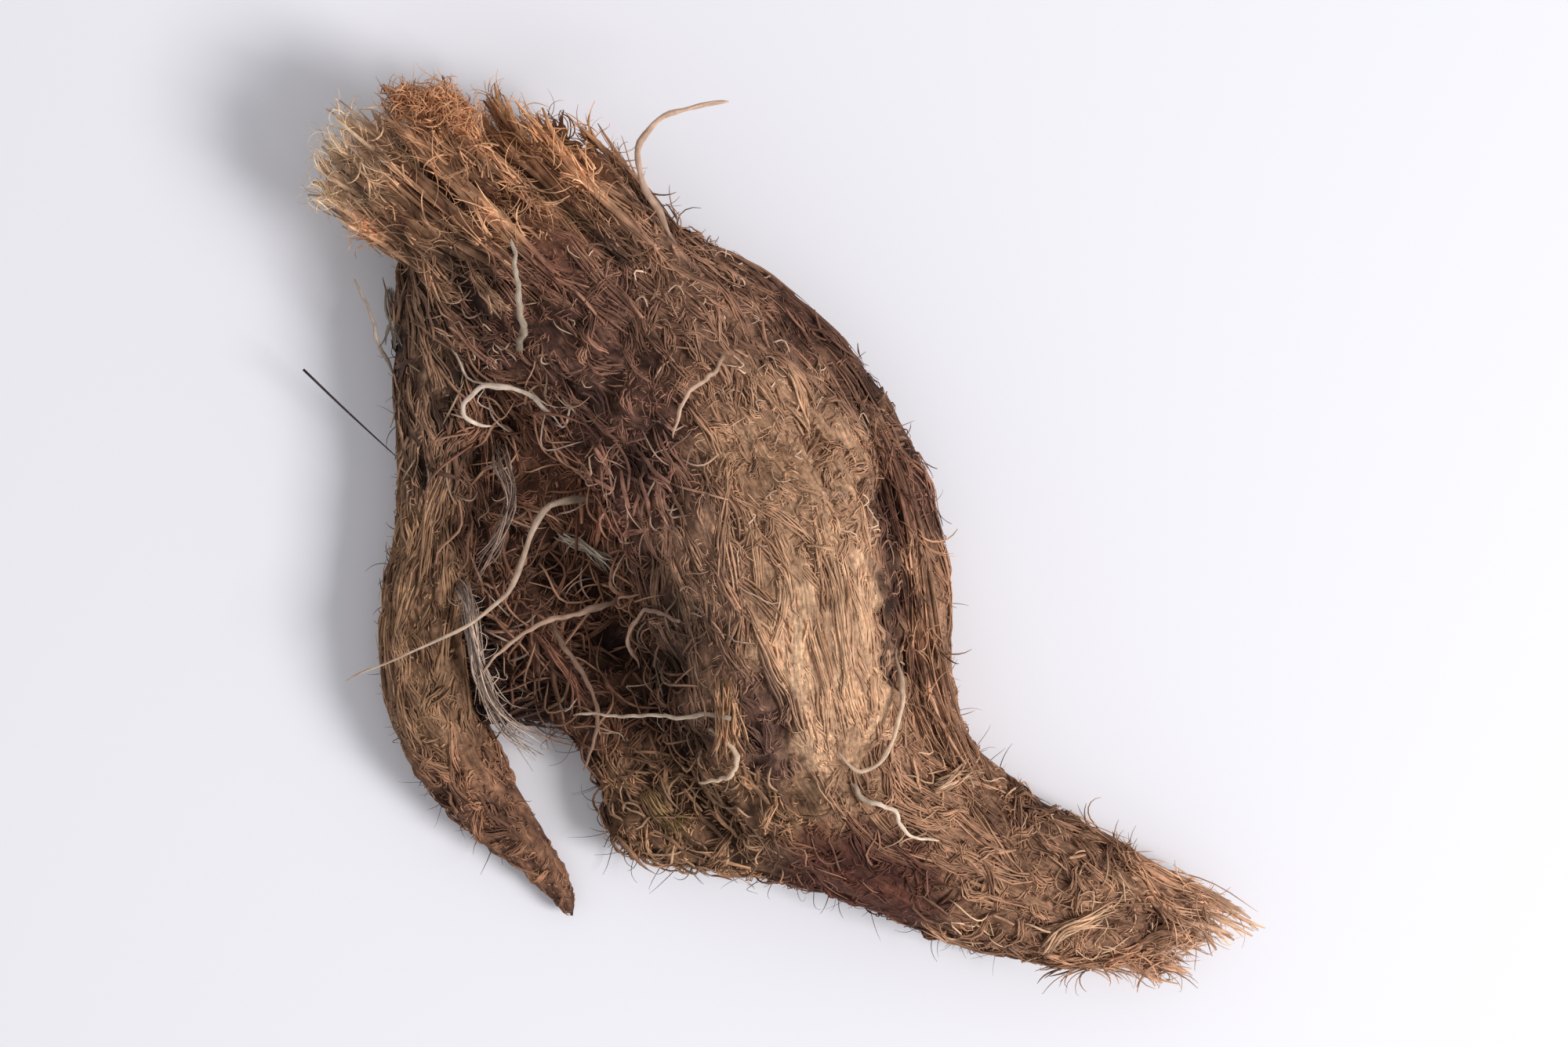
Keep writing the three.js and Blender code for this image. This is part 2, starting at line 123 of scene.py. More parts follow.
# The places [x, y] where each zone is strongest, the darker and the lighter of its fibres, and its values.
ZONES = {
    "crown": ([[-25.5, 22], [-21, 23.5], [-16, 21.5], [-13, 22]],
        (106, 69, 50), (224, 172, 132), (4.2, 0.2, 0.1, 1.0, 0.4, 0.6, 0.3, -0.2, 0.0, 0.3)),
    "crown_tips": ([[-29.5, 25], [-29.5, 22.5], [-27.5, 22.5]],
        (176, 138, 108), (250, 222, 186), (2.8, 0.3, 0.2, 0.8, 0.5, 0.5, 0.4, 0.0, 0.2, 0.0)),
    "crown_back": ([[-20, 26], [-16, 24.5], [-13.5, 23.5]],
        (122, 78, 48), (212, 156, 112), (2.6, 0.3, 0.2, 0.8, 0.5, 0.4, 0.5, 0.0, 0.2, 0.1)),
    "crown_side": ([[-9, 21.5], [-9, 18]],
        (76, 52, 42), (160, 120, 96), (3.0, 0.4, 0.2, 0.8, 0.4, 0.3, 0.7, 0.0, 0.2, 0.3)),
    "bare_neck": ([[-14.2, 17.0]],
        (98, 60, 48), (142, 96, 78), (1.7, 0.3, 0.1, 0.7, 0.1, 0.1, 0.1, 0.0, 0.5, 0.0)),
    "neck": ([[-14, 13], [-17, 12.5], [-11, 10], [-12, 13]],
        (68, 44, 37), (160, 116, 95), (3.6, 0.6, 0.2, 0.8, 0.35, 0.15, 1.0, 0.0, 0.15, 0.6)),
    "waist": ([[-9.5, 6], [-8, 2.5], [-11.5, 7.5]],
        (64, 42, 35), (156, 112, 94), (2.8, 0.8, 0.3, 0.8, 0.4, 0.05, 1.0, -0.3, 0.1, 0.8)),
    "shoulder": ([[-6.5, 13.5], [-3.5, 10.5]],
        (96, 66, 52), (176, 134, 108), (3.4, 0.45, 0.16, 0.8, 0.3, 0.2, 1.0, 0.2, 0.3, 0.3)),
    "felt_top": ([[-0.5, 7], [2.5, 5.5], [-1.5, 3], [1, 1.5], [2.2, -1]],
        (122, 86, 64), (200, 158, 125), (4.0, 0.8, 0.14, 0.55, 0.2, 0.1, 1.0, 0.3, 0.5, 0.15)),
    "felt": ([[2.7, -4.5], [2.8, -7], [3.2, -10], [3.2, -13]],
        (148, 110, 84), (208, 168, 134), (4.2, 0.12, 0.08, 0.8, 0.05, 1.0, 0.4, 0.5, 0.8, 0.0)),
    "felt_edge": ([[-5.0, 1], [-4.8, -5.5], [-3.6, -11]],
        (96, 67, 53), (188, 146, 118), (2.6, 0.35, 0.18, 0.8, 0.35, 0.5, 0.9, 0.1, 0.25, 0.4)),
    "notch": ([[-1.4, -10.6], [-0.9, -12.6], [-0.4, -14.6]],
        (66, 43, 38), (138, 102, 88), (1.5, 0.7, 0.2, 0.7, 0.3, 0.2, 0.9, -0.3, 0.1, 0.5)),
    # The cleft's near-black colours are painted shade in the sunken line down the right of the felt.
    "cleft": ([[6.6 + 0.07 * k, 1.8 - 0.9 * k] for k in range(13)],
        (34, 21, 18), (110, 72, 58), (0.9, 0.35, 0.15, 0.6, 0.2, 0.2, 0.4, -0.5, 0.1, 0.0)),
    # branch_top's dark colours are partly the branch's own and partly painted shade under the crown.
    "branch_top": ([[-24.0, 15], [-23.5, 9.5], [-23.5, 4.5]],
        (60, 42, 34), (166, 128, 102), (3.0, 0.2, 0.12, 0.9, 0.3, 0.5, 0.7, 0.0, 0.1, 0.6)),
    "branch_low": ([[-24.5, -2], [-24.5, -8], [-23, -13]],
        (90, 62, 46), (176, 138, 106), (3.4, 0.3, 0.14, 0.7, 0.2, 0.4, 1.0, 0.0, 0.3, 0.25)),
    "branch_tip": ([[-20.5, -16.5], [-16.5, -21.5], [-14, -25]],
        (66, 43, 35), (168, 122, 94), (4.4, 0.7, 0.15, 0.5, 0.3, 0.1, 1.5, 0.0, 0.35, 0.3)),
    "web": ([[-18, 5], [-17, 0.5], [-15, -5.5], [-12.5, -9], [-10, -12.5]],
        (64, 41, 33), (158, 112, 88), (3.6, 1.0, 0.3, 0.9, 0.6, 0.05, 0.9, -0.4, 0.15, 0.8)),
    "skirt": ([[-9, -17], [-6, -19.5], [-1, -18.5]],
        (76, 52, 39), (194, 148, 112), (3.4, 0.8, 0.3, 0.8, 0.5, 0.05, 1.0, 0.0, 0.15, 0.7)),
    "red_skin": ([[2.0, -20.8], [5.0, -21.3], [7.6, -22.2]],
        (58, 33, 27), (112, 68, 54), (2.3, 0.8, 0.2, 0.6, 0.2, 0.02, 0.6, -0.1, 0.35, 0.1)),
    "lower_end": ([[8, -16.6], [13, -20], [17, -23], [22, -25], [25, -26]],
        (90, 60, 46), (184, 140, 110), (4.2, 0.8, 0.35, 0.9, 0.4, 0.3, 1.2, 0.0, 0.35, 0.35)),
    "torn_tip": ([[27.5, -26.4], [29.5, -26.4]],
        (132, 94, 72), (224, 182, 150), (2.6, 0.4, 0.25, 0.8, 0.3, 0.3, 1.0, 0.0, 0.5, 0.1)),
    # flank_top's dark colours are partly the flank's own and partly painted shade cast by neighbouring roots.
    "flank_top": ([[1, 12], [4.5, 9], [8, 5], [9.5, 1]],
        (56, 36, 30), (140, 98, 78), (2.4, 0.3, 0.15, 0.9, 0.3, 0.5, 0.7, 0.0, 0.15, 0.4)),
    "flank_low": ([[9.3, -2], [9.6, -7], [10, -13], [12, -17]],
        (96, 66, 50), (186, 142, 112), (2.2, 0.35, 0.16, 0.8, 0.25, 0.6, 0.8, 0.1, 0.3, 0.1)),
}
# The felt of the body ends in a ragged hem along this line, in [x, y].
HEM = [[-8, -12.0], [-5.0, -15.2], [-1, -14.6], [3.2, -14.8], [5.0, -13.6], [6.4, -11.4], [7.6, -10]]
# Hollows between the roots: [x, y, radius, depth].
HOLLOWS = [
    [-17.6, 5.2, 1.7, 1.5], [-16.0, 3.4, 1.1, 1.2], [-18.6, 1.9, 0.9, 1.1], [-16.2, 8.0, 1.0, 0.9],
    [-14.4, -2.4, 1.9, 1.6], [-12.8, -4.2, 1.4, 1.3], [-10.6, -7.8, 2.2, 1.8], [-7.6, -9.6, 1.8, 1.8],
    [-12.4, -7.4, 1.5, 1.4], [-6.8, -13.8, 1.5, 1.4], [-9.2, -11.0, 1.5, 1.5], [-17.6, -8.6, 1.3, 1.0],
    [1.2, -16.6, 1.5, 1.0], [4.2, -16.4, 1.3, 1.0], [-1.4, -17.2, 1.2, 0.8], [-4.8, -17.6, 0.9, 0.7],
    [-10.8, 8.8, 1.1, 0.9], [-12.4, 7.4, 0.9, 0.9], [-9.4, 3.6, 1.0, 0.9], [-7.9, -3.4, 1.0, 0.9],
    [-9.2, -0.4, 0.8, 0.7], [-23.8, 15.6, 0.9, 0.8], [-23.2, 12.6, 0.9, 0.8], [-19.2, 15.6, 0.9, 0.8],
    [-21.6, 10.4, 1.1, 0.8], [-22.2, 7.4, 0.8, 0.7], [-15.8, 14.9, 0.7, 0.7], [-13.4, 11.2, 0.8, 0.7],
    [5.2, -14.9, 1.0, 0.9], [-19.8, 12.6, 0.8, 0.7], [-21.2, 1.6, 0.7, 0.6], [14.6, -22.4, 0.8, 0.5],
    [10.4, -23.6, 0.8, 0.5],
]
HOLLOW_DEPTH = 0.62  # the share of those depths that is cut
# Painted shade: dark lines of shadow between the leaf bases of the crown, each along points of [x, y]. They
# only darken colour.
CLEFT_SHADOWS = [
    [[-28.6, 23.2], [-26.4, 20.4]],
    [[-24.2, 18.6], [-23.6, 16.2], [-22.6, 14.2]],
    [[-21.2, 17.4], [-20.4, 15.2], [-18.8, 13.0]],
    [[-24.9, 24.6], [-22.9, 22.2], [-20.9, 19.8]],
    [[-25.6, 21.2], [-22.0, 19.0], [-20.0, 17.8], [-18.9, 16.2], [-17.8, 14.8]],
    [[-15.5, 21.5], [-12.2, 18.6], [-10.2, 16.6]],
]
# half width of each cleft's line of painted shadow, in mm
CLEFT_WIDTH = 0.35
# Places that are lighter (over 0) than the zone round them, and places darker than it, which are painted
# shade in the recesses of the web and the fork: [x, y, radius, amount].
TONE_PATCHES_AND_PAINTED_SHADE = [
    [-11.6, 3.9, 1.8, 0.65], [-11.8, 0.3, 2.4, 0.65], [-14.6, 6.4, 1.4, 0.5], [-8.8, 1.0, 1.3, 0.6],
    [-16.4, 4.0, 1.6, 0.5], [-12.8, -4.4, 1.2, 0.5], [-18.2, -2.6, 1.6, -0.5], [-7.4, -8.8, 1.8, -1.1],
    [-7.2, -5.0, 1.3, -0.9], [-5.4, -6.2, 1.2, -0.6], [-6.2, -13.4, 1.4, -0.9], [-14.6, -11.6, 1.4, -0.7],
    [-16.4, -10.6, 1.5, -0.5], [-3.8, -17.0, 1.2, -0.5],
]

ZONE_WARP = 0.45  # how far the borders between the zones wander
TONE_GAIN = 1.3  # the fibres shade each other, so each is a little lighter than the coat looks
LIGHTEST = 1.35  # how far past its zone's light colour a fibre may go, from 0 at dark and 1 at light
FINE_MOTTLE, BROAD_MOTTLE, FELT_STREAKS = 0.18, 0.14, 0.3
STREAK_SHAPE = np.array([1.0, 0.12, 0.0])  # the streaks run down the felt, along Y
HOLLOW_SHADE, PIT_SHADE, CLEFT_SHADE = 0.32, 0.4, 0.6  # painted shade: how much of its light each hollow, pit and cleft takes away


def linear(srgb):
    """Linear colour of an sRGB one given from 0 to 255."""
    share = np.asarray(srgb, float) / 255
    return np.where(share <= 0.04045, share / 12.92, ((share + 0.055) / 1.055) ** 2.4)


def mixed_colour(dark, light, share):
    """The colour at a share of the way from dark to light, both sRGB."""
    return (linear(dark) * (1 - share) + linear(light) * share) * TONE_GAIN


def unit(vectors):
    return vectors / np.maximum(np.linalg.norm(vectors, axis=-1, keepdims=True), 1e-9)


def scatter(rng, count, sizes):
    """Random offsets in x, y and z."""
    return rng.normal(size=(count, 3)) * sizes


def swing(turns, phase, share):
    """A sine wave that makes so many turns over a share from 0 to 1."""
    return np.sin(FULL_TURN * turns * share + phase)


def spindle(rng, half_width, count, share, thinning, power=3):
    """Half widths of strands that are thinner towards both ends."""
    return rng.uniform(*half_width, count)[:, None] * (1 - thinning * np.abs(2 * share - 1) ** power)


def between(first, second, share):
    """The places, or directions, at each share of the way from first to second."""
    return first[:, None] * (1 - share[..., None]) + second[:, None] * share[..., None]


def resample(points, shares):
    """Points at shares, from 0 to 1, of the length of a line."""
    points = np.asarray(points, float)
    steps = np.linalg.norm(np.diff(points[:, :3], axis=0), axis=1)
    run = np.concatenate([[0], np.cumsum(steps)])
    at = np.asarray(shares) * run[-1]
    return np.stack([np.interp(at, run, column) for column in points.T], axis=-1)


def smooth_line(points, count, rounds=3):
    """A line of count points through the given ones, with its corners rounded."""
    line = resample(points, np.linspace(0, 1, count))
    for _ in range(rounds):
        line[1:-1] = 0.25 * line[:-2] + 0.5 * line[1:-1] + 0.25 * line[2:]
    return line


class Grain:
    """The run of the fibres: the middle lines of the rhizome as a cloud of places, each with a direction."""

    def __init__(self, lines):
        places, tangents, widths, starts, lobes = [], [], [], [], []
        for lobe, stations in enumerate(lines):
            stations = np.array(stations, float)
            stations[:, :3] += WORKING_ORIGIN
            length = np.linalg.norm(np.diff(stations[:, :3], axis=0), axis=1).sum()
            line = smooth_line(stations, int(length / GRAIN_STEP) + 2)
            places.append(line[:, :3])
            tangents.append(unit(np.gradient(line[:, :3], axis=0)))
            widths.append(line[:, 3])
            starts.append(np.arange(len(line)) * length / (len(line) - 1))
            lobes.append(np.full(len(line), lobe))
        self.places = np.concatenate(places)
        self.tangents = np.concatenate(tangents)
        self.widths = np.concatenate(widths)
        self.along = np.concatenate(starts)
        self.lobes = np.concatenate(lobes)

    def reach(self, points):
        """How far each point is from each place, in half widths, squared."""
        gaps = points[:, None, :] - self.places[None]
        return (gaps**2).sum(-1) / self.widths**2

    def direction(self, points):
        reach = self.reach(points)
        weight = np.exp(-4 * (reach - reach.min(1, keepdims=True)))
        return unit(weight @ self.tangents)

    def width(self, points):
        """The half width of the lobe that each point lies on."""
        return self.widths[self.reach(points).argmin(1)]

    def coordinates(self, points):
        """For each point: how far along its lobe it is, how far round it, and which lobe that is."""
        found = []
        for chunk in np.array_split(points, max(1, len(points) // 4000)):
            nearest = self.reach(chunk).argmin(1)
            tangent = self.tangents[nearest]
            side = unit(np.cross([0, 0, 1.0], tangent))
            above = np.cross(tangent, side)
            offset = chunk - self.places[nearest]
            angle = np.arctan2((offset * above).sum(1), (offset * side).sum(1))
            run = self.along[nearest] + (offset * tangent).sum(1)
            found.append(np.stack([run, angle * self.widths[nearest], self.lobes[nearest]], 1))
        return np.concatenate(found)


class Waves:
    """A smooth field over space with values from about -1 to 1, the same on every run."""

    def __init__(self, rng, shortest, longest, count=7):
        lengths = rng.uniform(shortest, longest, count)
        self.vectors = unit(rng.normal(size=(count, 3))) * (FULL_TURN / lengths)[:, None]
        self.phases = rng.uniform(0, FULL_TURN, count)

    def __call__(self, points):
        return np.sin(points @ self.vectors.T + self.phases).sum(-1) / math.sqrt(len(self.phases))


class Zones:
    """Blends the zones' values at places on the table."""

    def __init__(self, zones):
        self.names = list(zones)
        places, dark, light, values = zip(*zones.values())
        self.places = [np.array(p, float) for p in places]
        self.dark = linear(dark) * TONE_GAIN
        self.light = linear(light) * TONE_GAIN
        self.values = {key: np.array(column) for key, column in zip(ZONE_VALUES, zip(*values))}
        self.warps = [Waves(np.random.default_rng([SEED, 97, axis]), 1.2, 4.5) for axis in range(2)]

    def weights(self, points):
        columns = []
        spots = points[:, :2] + ZONE_WARP * np.stack([warp(points) for warp in self.warps], 1)
        for places, reach in zip(self.places, self.values["reach"].tolist()):
            gaps = spots[:, None] - places[None]
            nearness = np.exp(-(gaps**2).sum(-1) / reach**2).max(1)
            columns.append(nearness**2 / reach + 1e-9)
        weights = np.stack(columns, 1)
        return weights / weights.sum(1, keepdims=True)

    def value(self, key, weights):
        return weights @ self.values[key]

    def share(self, names, weights):
        """How much of a place belongs to the zones of these names."""
        return weights[:, [self.names.index(name) for name in names]].sum(1)

    def tone(self, weights, share):
        """A colour between the darker and the lighter fibres of the zones there."""
        share = np.clip(share, 0, LIGHTEST)[:, None]
        return (weights @ self.dark) * (1 - share) + (weights @ self.light) * share


grain = Grain(GRAIN_LINES.values())
zones = Zones(ZONES)
field_rng = np.random.default_rng([SEED, 99])
pit_field = Waves(field_rng, 1.4, 3.6)
fine_mottle = Waves(field_rng, 0.7, 1.8)
broad_mottle = Waves(field_rng, 3, 8)
streak_field = Waves(field_rng, 0.8, 1.7)


def spots_near(points, spots):
    """The squared distance of places from spots of [x, y, radius, ...], in their radii."""
    spots = np.array(spots)
    return ((points[..., None, :2] - spots[:, :2]) ** 2).sum(-1) / spots[:, 2] ** 2


def hollow_depth(points):
    """How deep the hollows are at places on the table."""
    depths = np.array(HOLLOWS)[:, 3] * np.exp(-(spots_near(points, HOLLOWS) ** 2))
    return depths.max(-1) * HOLLOW_DEPTH


def patch_and_painted_shade_gain(points):
    """How much lighter, or darker with painted shade, a place is than its zone, as a factor."""
    return np.exp((np.array(TONE_PATCHES_AND_PAINTED_SHADE)[:, 3] * np.exp(-spots_near(points, TONE_PATCHES_AND_PAINTED_SHADE))).sum(-1))


def cleft_shadow_share(points):
    """How deep in the painted shadow of a cleft of the crown places on the table are, from 0 to 1."""
    nearest = np.full(points.shape[:-1], np.inf)
    for cleft in CLEFT_SHADOWS:
        for start, end in zip(np.array(cleft[:-1]), np.array(cleft[1:])):
            side = end - start
            offset = points[..., :2] - start
            along = np.clip((offset @ side) / (side @ side), 0, 1)
            gap = offset - along[..., None] * side
            nearest = np.minimum(nearest, (gap**2).sum(-1))
    return np.exp(-nearest / CLEFT_WIDTH**2)


def pit_share(points):
    """From 0 to 1: how far into one of the small pits between the tufts places are."""
    return np.clip((pit_field(points) - 0.35) / 0.6, 0, 1)


def mottle(points, weights):
    """How much lighter or darker than its zone a place is, as a share of the way from dark to light."""
    streaks = FELT_STREAKS * zones.share(["felt"], weights) * streak_field(points * STREAK_SHAPE)
    return FINE_MOTTLE * fine_mottle(points) + BROAD_MOTTLE * broad_mottle(points) + streaks


def shade(points, weights):
    """The factor on a place's colour: painted shade in its hollows, pits and clefts, and its patches, which
    are lighter or painted shade.
    """
    pits = zones.value("pits", weights) * pit_share(points)
    sunk = (1 - HOLLOW_SHADE * np.clip(hollow_depth(points), 0, 1)) * (1 - PIT_SHADE * pits)
    return sunk * (1 - CLEFT_SHADE * cleft_shadow_share(points)) * patch_and_painted_shade_gain(points)


# ---- Meshes ----

# In the bake map each tube has a cell, which holds its unrolled wall and, to the right of it, its end discs.
WALL_PLACE, WALL_SIZE = np.array([0.03, 0.05]), np.array([0.87, 0.9])
DISC_PLACE, DISC_SIZE, DISC_STEP = np.array([0.955, 0.25]), np.array([0.025, 0.18]), np.array([0, 0.5])
TUBE_STEP = 7.3  # how far apart two tubes are in the noise of their material


def placed(name, data):
    """A new object for a mesh, a light or a camera."""
    made = bpy.data.objects.new(name, data)
    bpy.context.scene.collection.objects.link(made)
    return made


def mesh_from(name, points, corners, starts):
    """A smooth mesh in metres from points in mm, the corners of all faces in a row, and where each starts."""
    mesh = bpy.data.meshes.new(name)
    mesh.vertices.add(len(points))
    mesh.vertices.foreach_set("co", (points * MM).astype(np.float32).ravel())
    mesh.loops.add(len(corners))
    mesh.loops.foreach_set("vertex_index", corners.astype(np.int32))
    mesh.polygons.add(len(starts))
    mesh.polygons.foreach_set("loop_start", starts.astype(np.int32))
    mesh.polygons.foreach_set("use_smooth", np.ones(len(starts), bool))
    mesh.update(calc_edges=True)
    return mesh


def store(mesh, name, kind, field, values):
    """Stores a value for each vertex under a name that the materials read."""
    layer = mesh.attributes.new(name, kind, "POINT")
    layer.data.foreach_set(field, values.astype(np.float32).ravel())


def paint(mesh, tones):
    store(mesh, "Tone", "FLOAT_COLOR", "color", np.c_[tones, np.ones(len(tones))])


def add_piece(name, mesh, material, replaced=()):
    piece = placed(name, mesh)
    mesh.materials.append(material)
    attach(piece, "root")
    if replaced:
        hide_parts(*replaced)


class Strands:
    """Gathers closed tapering tubes into one mesh. Each tube has a cell of its own in the bake map."""

    def __init__(self):
        self.points, self.tones, self.runs, self.faces, self.maps = [], [], [], [], []
        self.count = 0
        self.size = 0

    def add(self, paths, ups, half_widths, half_heights, tones, sides=3):
        """Adds tubes. paths and ups are [tube, station, xyz], the half sizes [tube, station] and tones
        [tube, station, rgb]."""
        tubes, stations = paths.shape[:2]
        tangents = unit(np.gradient(paths, axis=1))
        across = unit(np.cross(ups, tangents))
        above = np.cross(tangents, across)
        angles = FULL_TURN * (np.arange(sides) + 0.5) / sides
        sideways = np.cos(angles) * half_widths[:, :, None]
        upwards = np.sin(angles) * half_heights[:, :, None]
        ring = across[:, :, None] * sideways[..., None] + above[:, :, None] * upwards[..., None]
        points = paths[:, :, None] + ring
        points[..., 2] = np.maximum(points[..., 2], TABLE_GAP)
        self.points.append(points.reshape(-1, 3))
        self.tones.append(np.repeat(tones, sides, axis=1).reshape(-1, 3))
        steps = np.linalg.norm(np.diff(paths, axis=1), axis=2)
        run = np.concatenate([np.zeros((tubes, 1)), np.cumsum(steps, axis=1)], axis=1)
        numbers = TUBE_STEP * (self.count + np.arange(tubes))
        runs = np.broadcast_arrays(run[:, :, None], sideways, numbers[:, None, None])
        self.runs.append(np.stack(runs, -1).reshape(-1, 3))

        grid = np.meshgrid(np.arange(stations - 1), np.arange(sides), indexing="ij")
        step, side = (numbers.ravel() for numbers in grid)
        here, beside = step * sides + side, step * sides + (side + 1) % sides
        walls = np.stack([here, beside, beside + sides, here + sides], 1)
        length = np.stack([step, step, step + 1, step + 1], 1) / (stations - 1)
        turn = np.stack([side, side + 1, side + 1, side], 1) / sides
        rim = np.arange(sides)
        disc = DISC_PLACE + DISC_SIZE * np.stack([np.cos(angles), np.sin(angles)], -1)
        kinds = [
            (walls, WALL_PLACE + WALL_SIZE * np.stack([length, turn], -1)),
            (rim[None, ::-1], disc[None, ::-1]),
            (rim[None] + (stations - 1) * sides, disc[None] + DISC_STEP),
        ]
        offsets = self.size + np.arange(tubes) * stations * sides
        cells = self.count + np.arange(tubes)
        for face, layout in kinds:
            self.faces.append((offsets[:, None, None] + face[None]).reshape(-1, face.shape[1]))
            self.maps.append((np.tile(layout.reshape(-1, 2), (tubes, 1)), np.repeat(cells, face.size)))
        self.size += tubes * stations * sides
        self.count += tubes

    def piece(self, name, material, slot, replaced=()):
        corners = np.concatenate([f.ravel() for f in self.faces])
        sizes = np.concatenate([np.full(len(f), f.shape[1]) for f in self.faces])
        starts = np.concatenate([[0], np.cumsum(sizes)[:-1]])
        mesh = mesh_from(name, np.concatenate(self.points), corners, starts)
        paint(mesh, np.concatenate(self.tones))
        store(mesh, "Run", "FLOAT_VECTOR", "vector", np.concatenate(self.runs))
        grid = math.ceil(math.sqrt(self.count))
        maps = [(np.stack([cells % grid, cells // grid], 1) + layout) / grid for layout, cells in self.maps]
        bake_map = mesh.uv_layers.new(name="OFBake")
        bake_map.uv.foreach_set("vector", np.concatenate(maps).astype(np.float32).ravel())
        add_piece(name, mesh, material, replaced)


def add_strands(name, material, slot, stream, build, rows=((),), replaced=()):
    """Makes one piece of the strands that build gives for each row of values. stream numbers its draws."""
    rng = np.random.default_rng([SEED, stream])
    strands = Strands()
    for row in rows:
        strands.add(*build(rng, *row))
    strands.piece(name, material, slot, replaced)


# ---- Materials ----

# Scales of the noise in the materials, per metre.
MOTTLE_SCALE, STAIN_SCALE, ROUGHNESS_SCALE, SKIN_MOTTLE_SCALE = 1500, 260, 2200, 2600
FIBRE_LINES = (0.9, 9.0, 1.0)  # the noise along a strand, across it and from strand to strand
SKIN_STREAKS = (0.5, 3.6, 1.0)  # the noise along the grain, round the lobe and from lobe to lobe


class Nodes:
    """A material's nodes, made one call each."""

    def __init__(self, name):
        self.material = bpy.data.materials.new(name)
        self.material.use_nodes = True
        self.tree = self.material.node_tree
        self.shader = self.tree.nodes["Principled BSDF"]

    def put(self, value, socket):
        """Links a socket's value to another socket, or sets it."""
        if isinstance(value, bpy.types.NodeSocket):
            self.tree.links.new(value, socket)
        else:
            socket.default_value = value

    def node(self, kind, inputs=(), **settings):
        made = self.tree.nodes.new(kind)
        for key, value in settings.items():
            setattr(made, key, value)
        for key, value in dict(inputs).items():
            self.put(value, made.inputs[key])
        return made

    def attribute(self, name, output):
        return self.node("ShaderNodeAttribute", attribute_name=name).outputs[output]

    def noise(self, scale, detail, roughness=0.6, vector=None):
        vector = vector or self.node("ShaderNodeTexCoord").outputs["Object"]
        inputs = {"Vector": vector, "Scale": scale, "Detail": detail, "Roughness": roughness}
        return self.node("ShaderNodeTexNoise", inputs).outputs["Fac"]

    def stretched(self, name, scale):
        """The vector stored under a name, scaled along each of its axes."""
        inputs = {"Vector": self.attribute(name, "Vector"), "Scale": scale}
        return self.node("ShaderNodeMapping", inputs).outputs["Vector"]

    def spread(self, value, low, high, start=0.3, end=0.7):
        """Carries a value from the range start to end over to the range low to high."""
        inputs = {"Value": value, "From Min": start, "From Max": end, "To Min": low, "To Max": high}
        return self.node("ShaderNodeMapRange", inputs).outputs["Result"]

    def scaled(self, colour, factor):
        made = self.node("ShaderNodeVectorMath", {0: colour}, operation="SCALE")
        self.put(factor, made.inputs["Scale"])
        return made.outputs["Vector"]

    def mixed(self, factor, first, second):
        made = self.node("ShaderNodeMix", data_type="RGBA")
        for key, value in (("Factor_Float", factor), ("A_Color", first), ("B_Color", second)):
            self.put(value, next(s for s in made.inputs if s.identifier == key))
        return next(s for s in made.outputs if s.identifier == "Result_Color")

    def finish(self, colour, roughness, height, distance, strength, specular):
        bump = self.node("ShaderNodeBump", {"Height": height, "Distance": distance, "Strength": strength})
        self.put(colour, self.shader.inputs["Base Color"])
        self.put(roughness, self.shader.inputs["Roughness"])
        self.put(bump.outputs["Normal"], self.shader.inputs["Normal"])
        self.put(specular, self.shader.inputs["Specular IOR Level"])
        return self.material


def strand_material(name, stain, stain_share, roughness, specular, mottle=0.28, streak=0.2):
    """Dry plant fibre: each strand has its own tone, fine lines along it, mottling and stained stretches."""
    n = Nodes(name)
    lines = n.noise(1.0, 3.0, 0.6, n.stretched("Run", FIBRE_LINES))
    lined = n.scaled(n.attribute("Tone", "Color"), n.spread(lines, 1 - streak, 1 + streak))
    mottled = n.scaled(lined, n.spread(n.noise(MOTTLE_SCALE, 5.0), 1 - mottle, 1 + mottle))
    stains = n.spread(n.noise(STAIN_SCALE, 3.0), 0.0, stain_share, 0.45, 0.75)
    stained = n.mixed(stains, mottled, (*linear(stain), 1))
    rough = n.spread(n.noise(ROUGHNESS_SCALE, 3.0), roughness - 0.12, roughness + 0.12)
    return n.finish(stained, rough, lines, 0.00006, 0.6, specular)


def core_material(name):
    """The matted skin under the strands: dark streaks that run along the grain."""
    n = Nodes(name)
    streaks = n.noise(1.0, 6.0, 0.7, n.stretched("Grain", SKIN_STREAKS))
    streaked = n.scaled(n.attribute("Tone", "Color"), n.spread(streaks, 0.5, 1.5, 0.35, 0.65))
    mottled = n.scaled(streaked, n.spread(n.noise(SKIN_MOTTLE_SCALE, 4.0), 0.7, 1.3, 0.35, 0.65))
    return n.finish(mottled, n.spread(streaks, 0.7, 0.95), streaks, 0.00025, 0.8, 0.2)


coat_fibre = strand_material(
    "coat_fibre", stain=(70, 42, 32), stain_share=0.35, roughness=0.78, specular=0.25)
sheath_fibre = strand_material(
    "sheath_fibre", stain=(86, 50, 34), stain_share=0.35, roughness=0.75, specular=0.25, streak=0.34)
root_skin = strand_material(
    "root_skin", stain=(120, 92, 74), stain_share=0.5, roughness=0.72, specular=0.2, mottle=0.22, streak=0.3)

# ---- The rhizome's own body ----

VOXEL, SMOOTHINGS = 0.42, 6  # spacing of the body's mesh, and how often it is smoothed
RIDGE = 0.25  # height of the ridges along the grain
PIT_DEPTH = 0.7
PAINTED_RIDGE_LIGHT = 0.15  # painted light and shade: how much lighter a ridge is than the furrow beside it
SKIN_SHADE = 0.85  # painted shade under the strands: the skin's colour against the strands over it
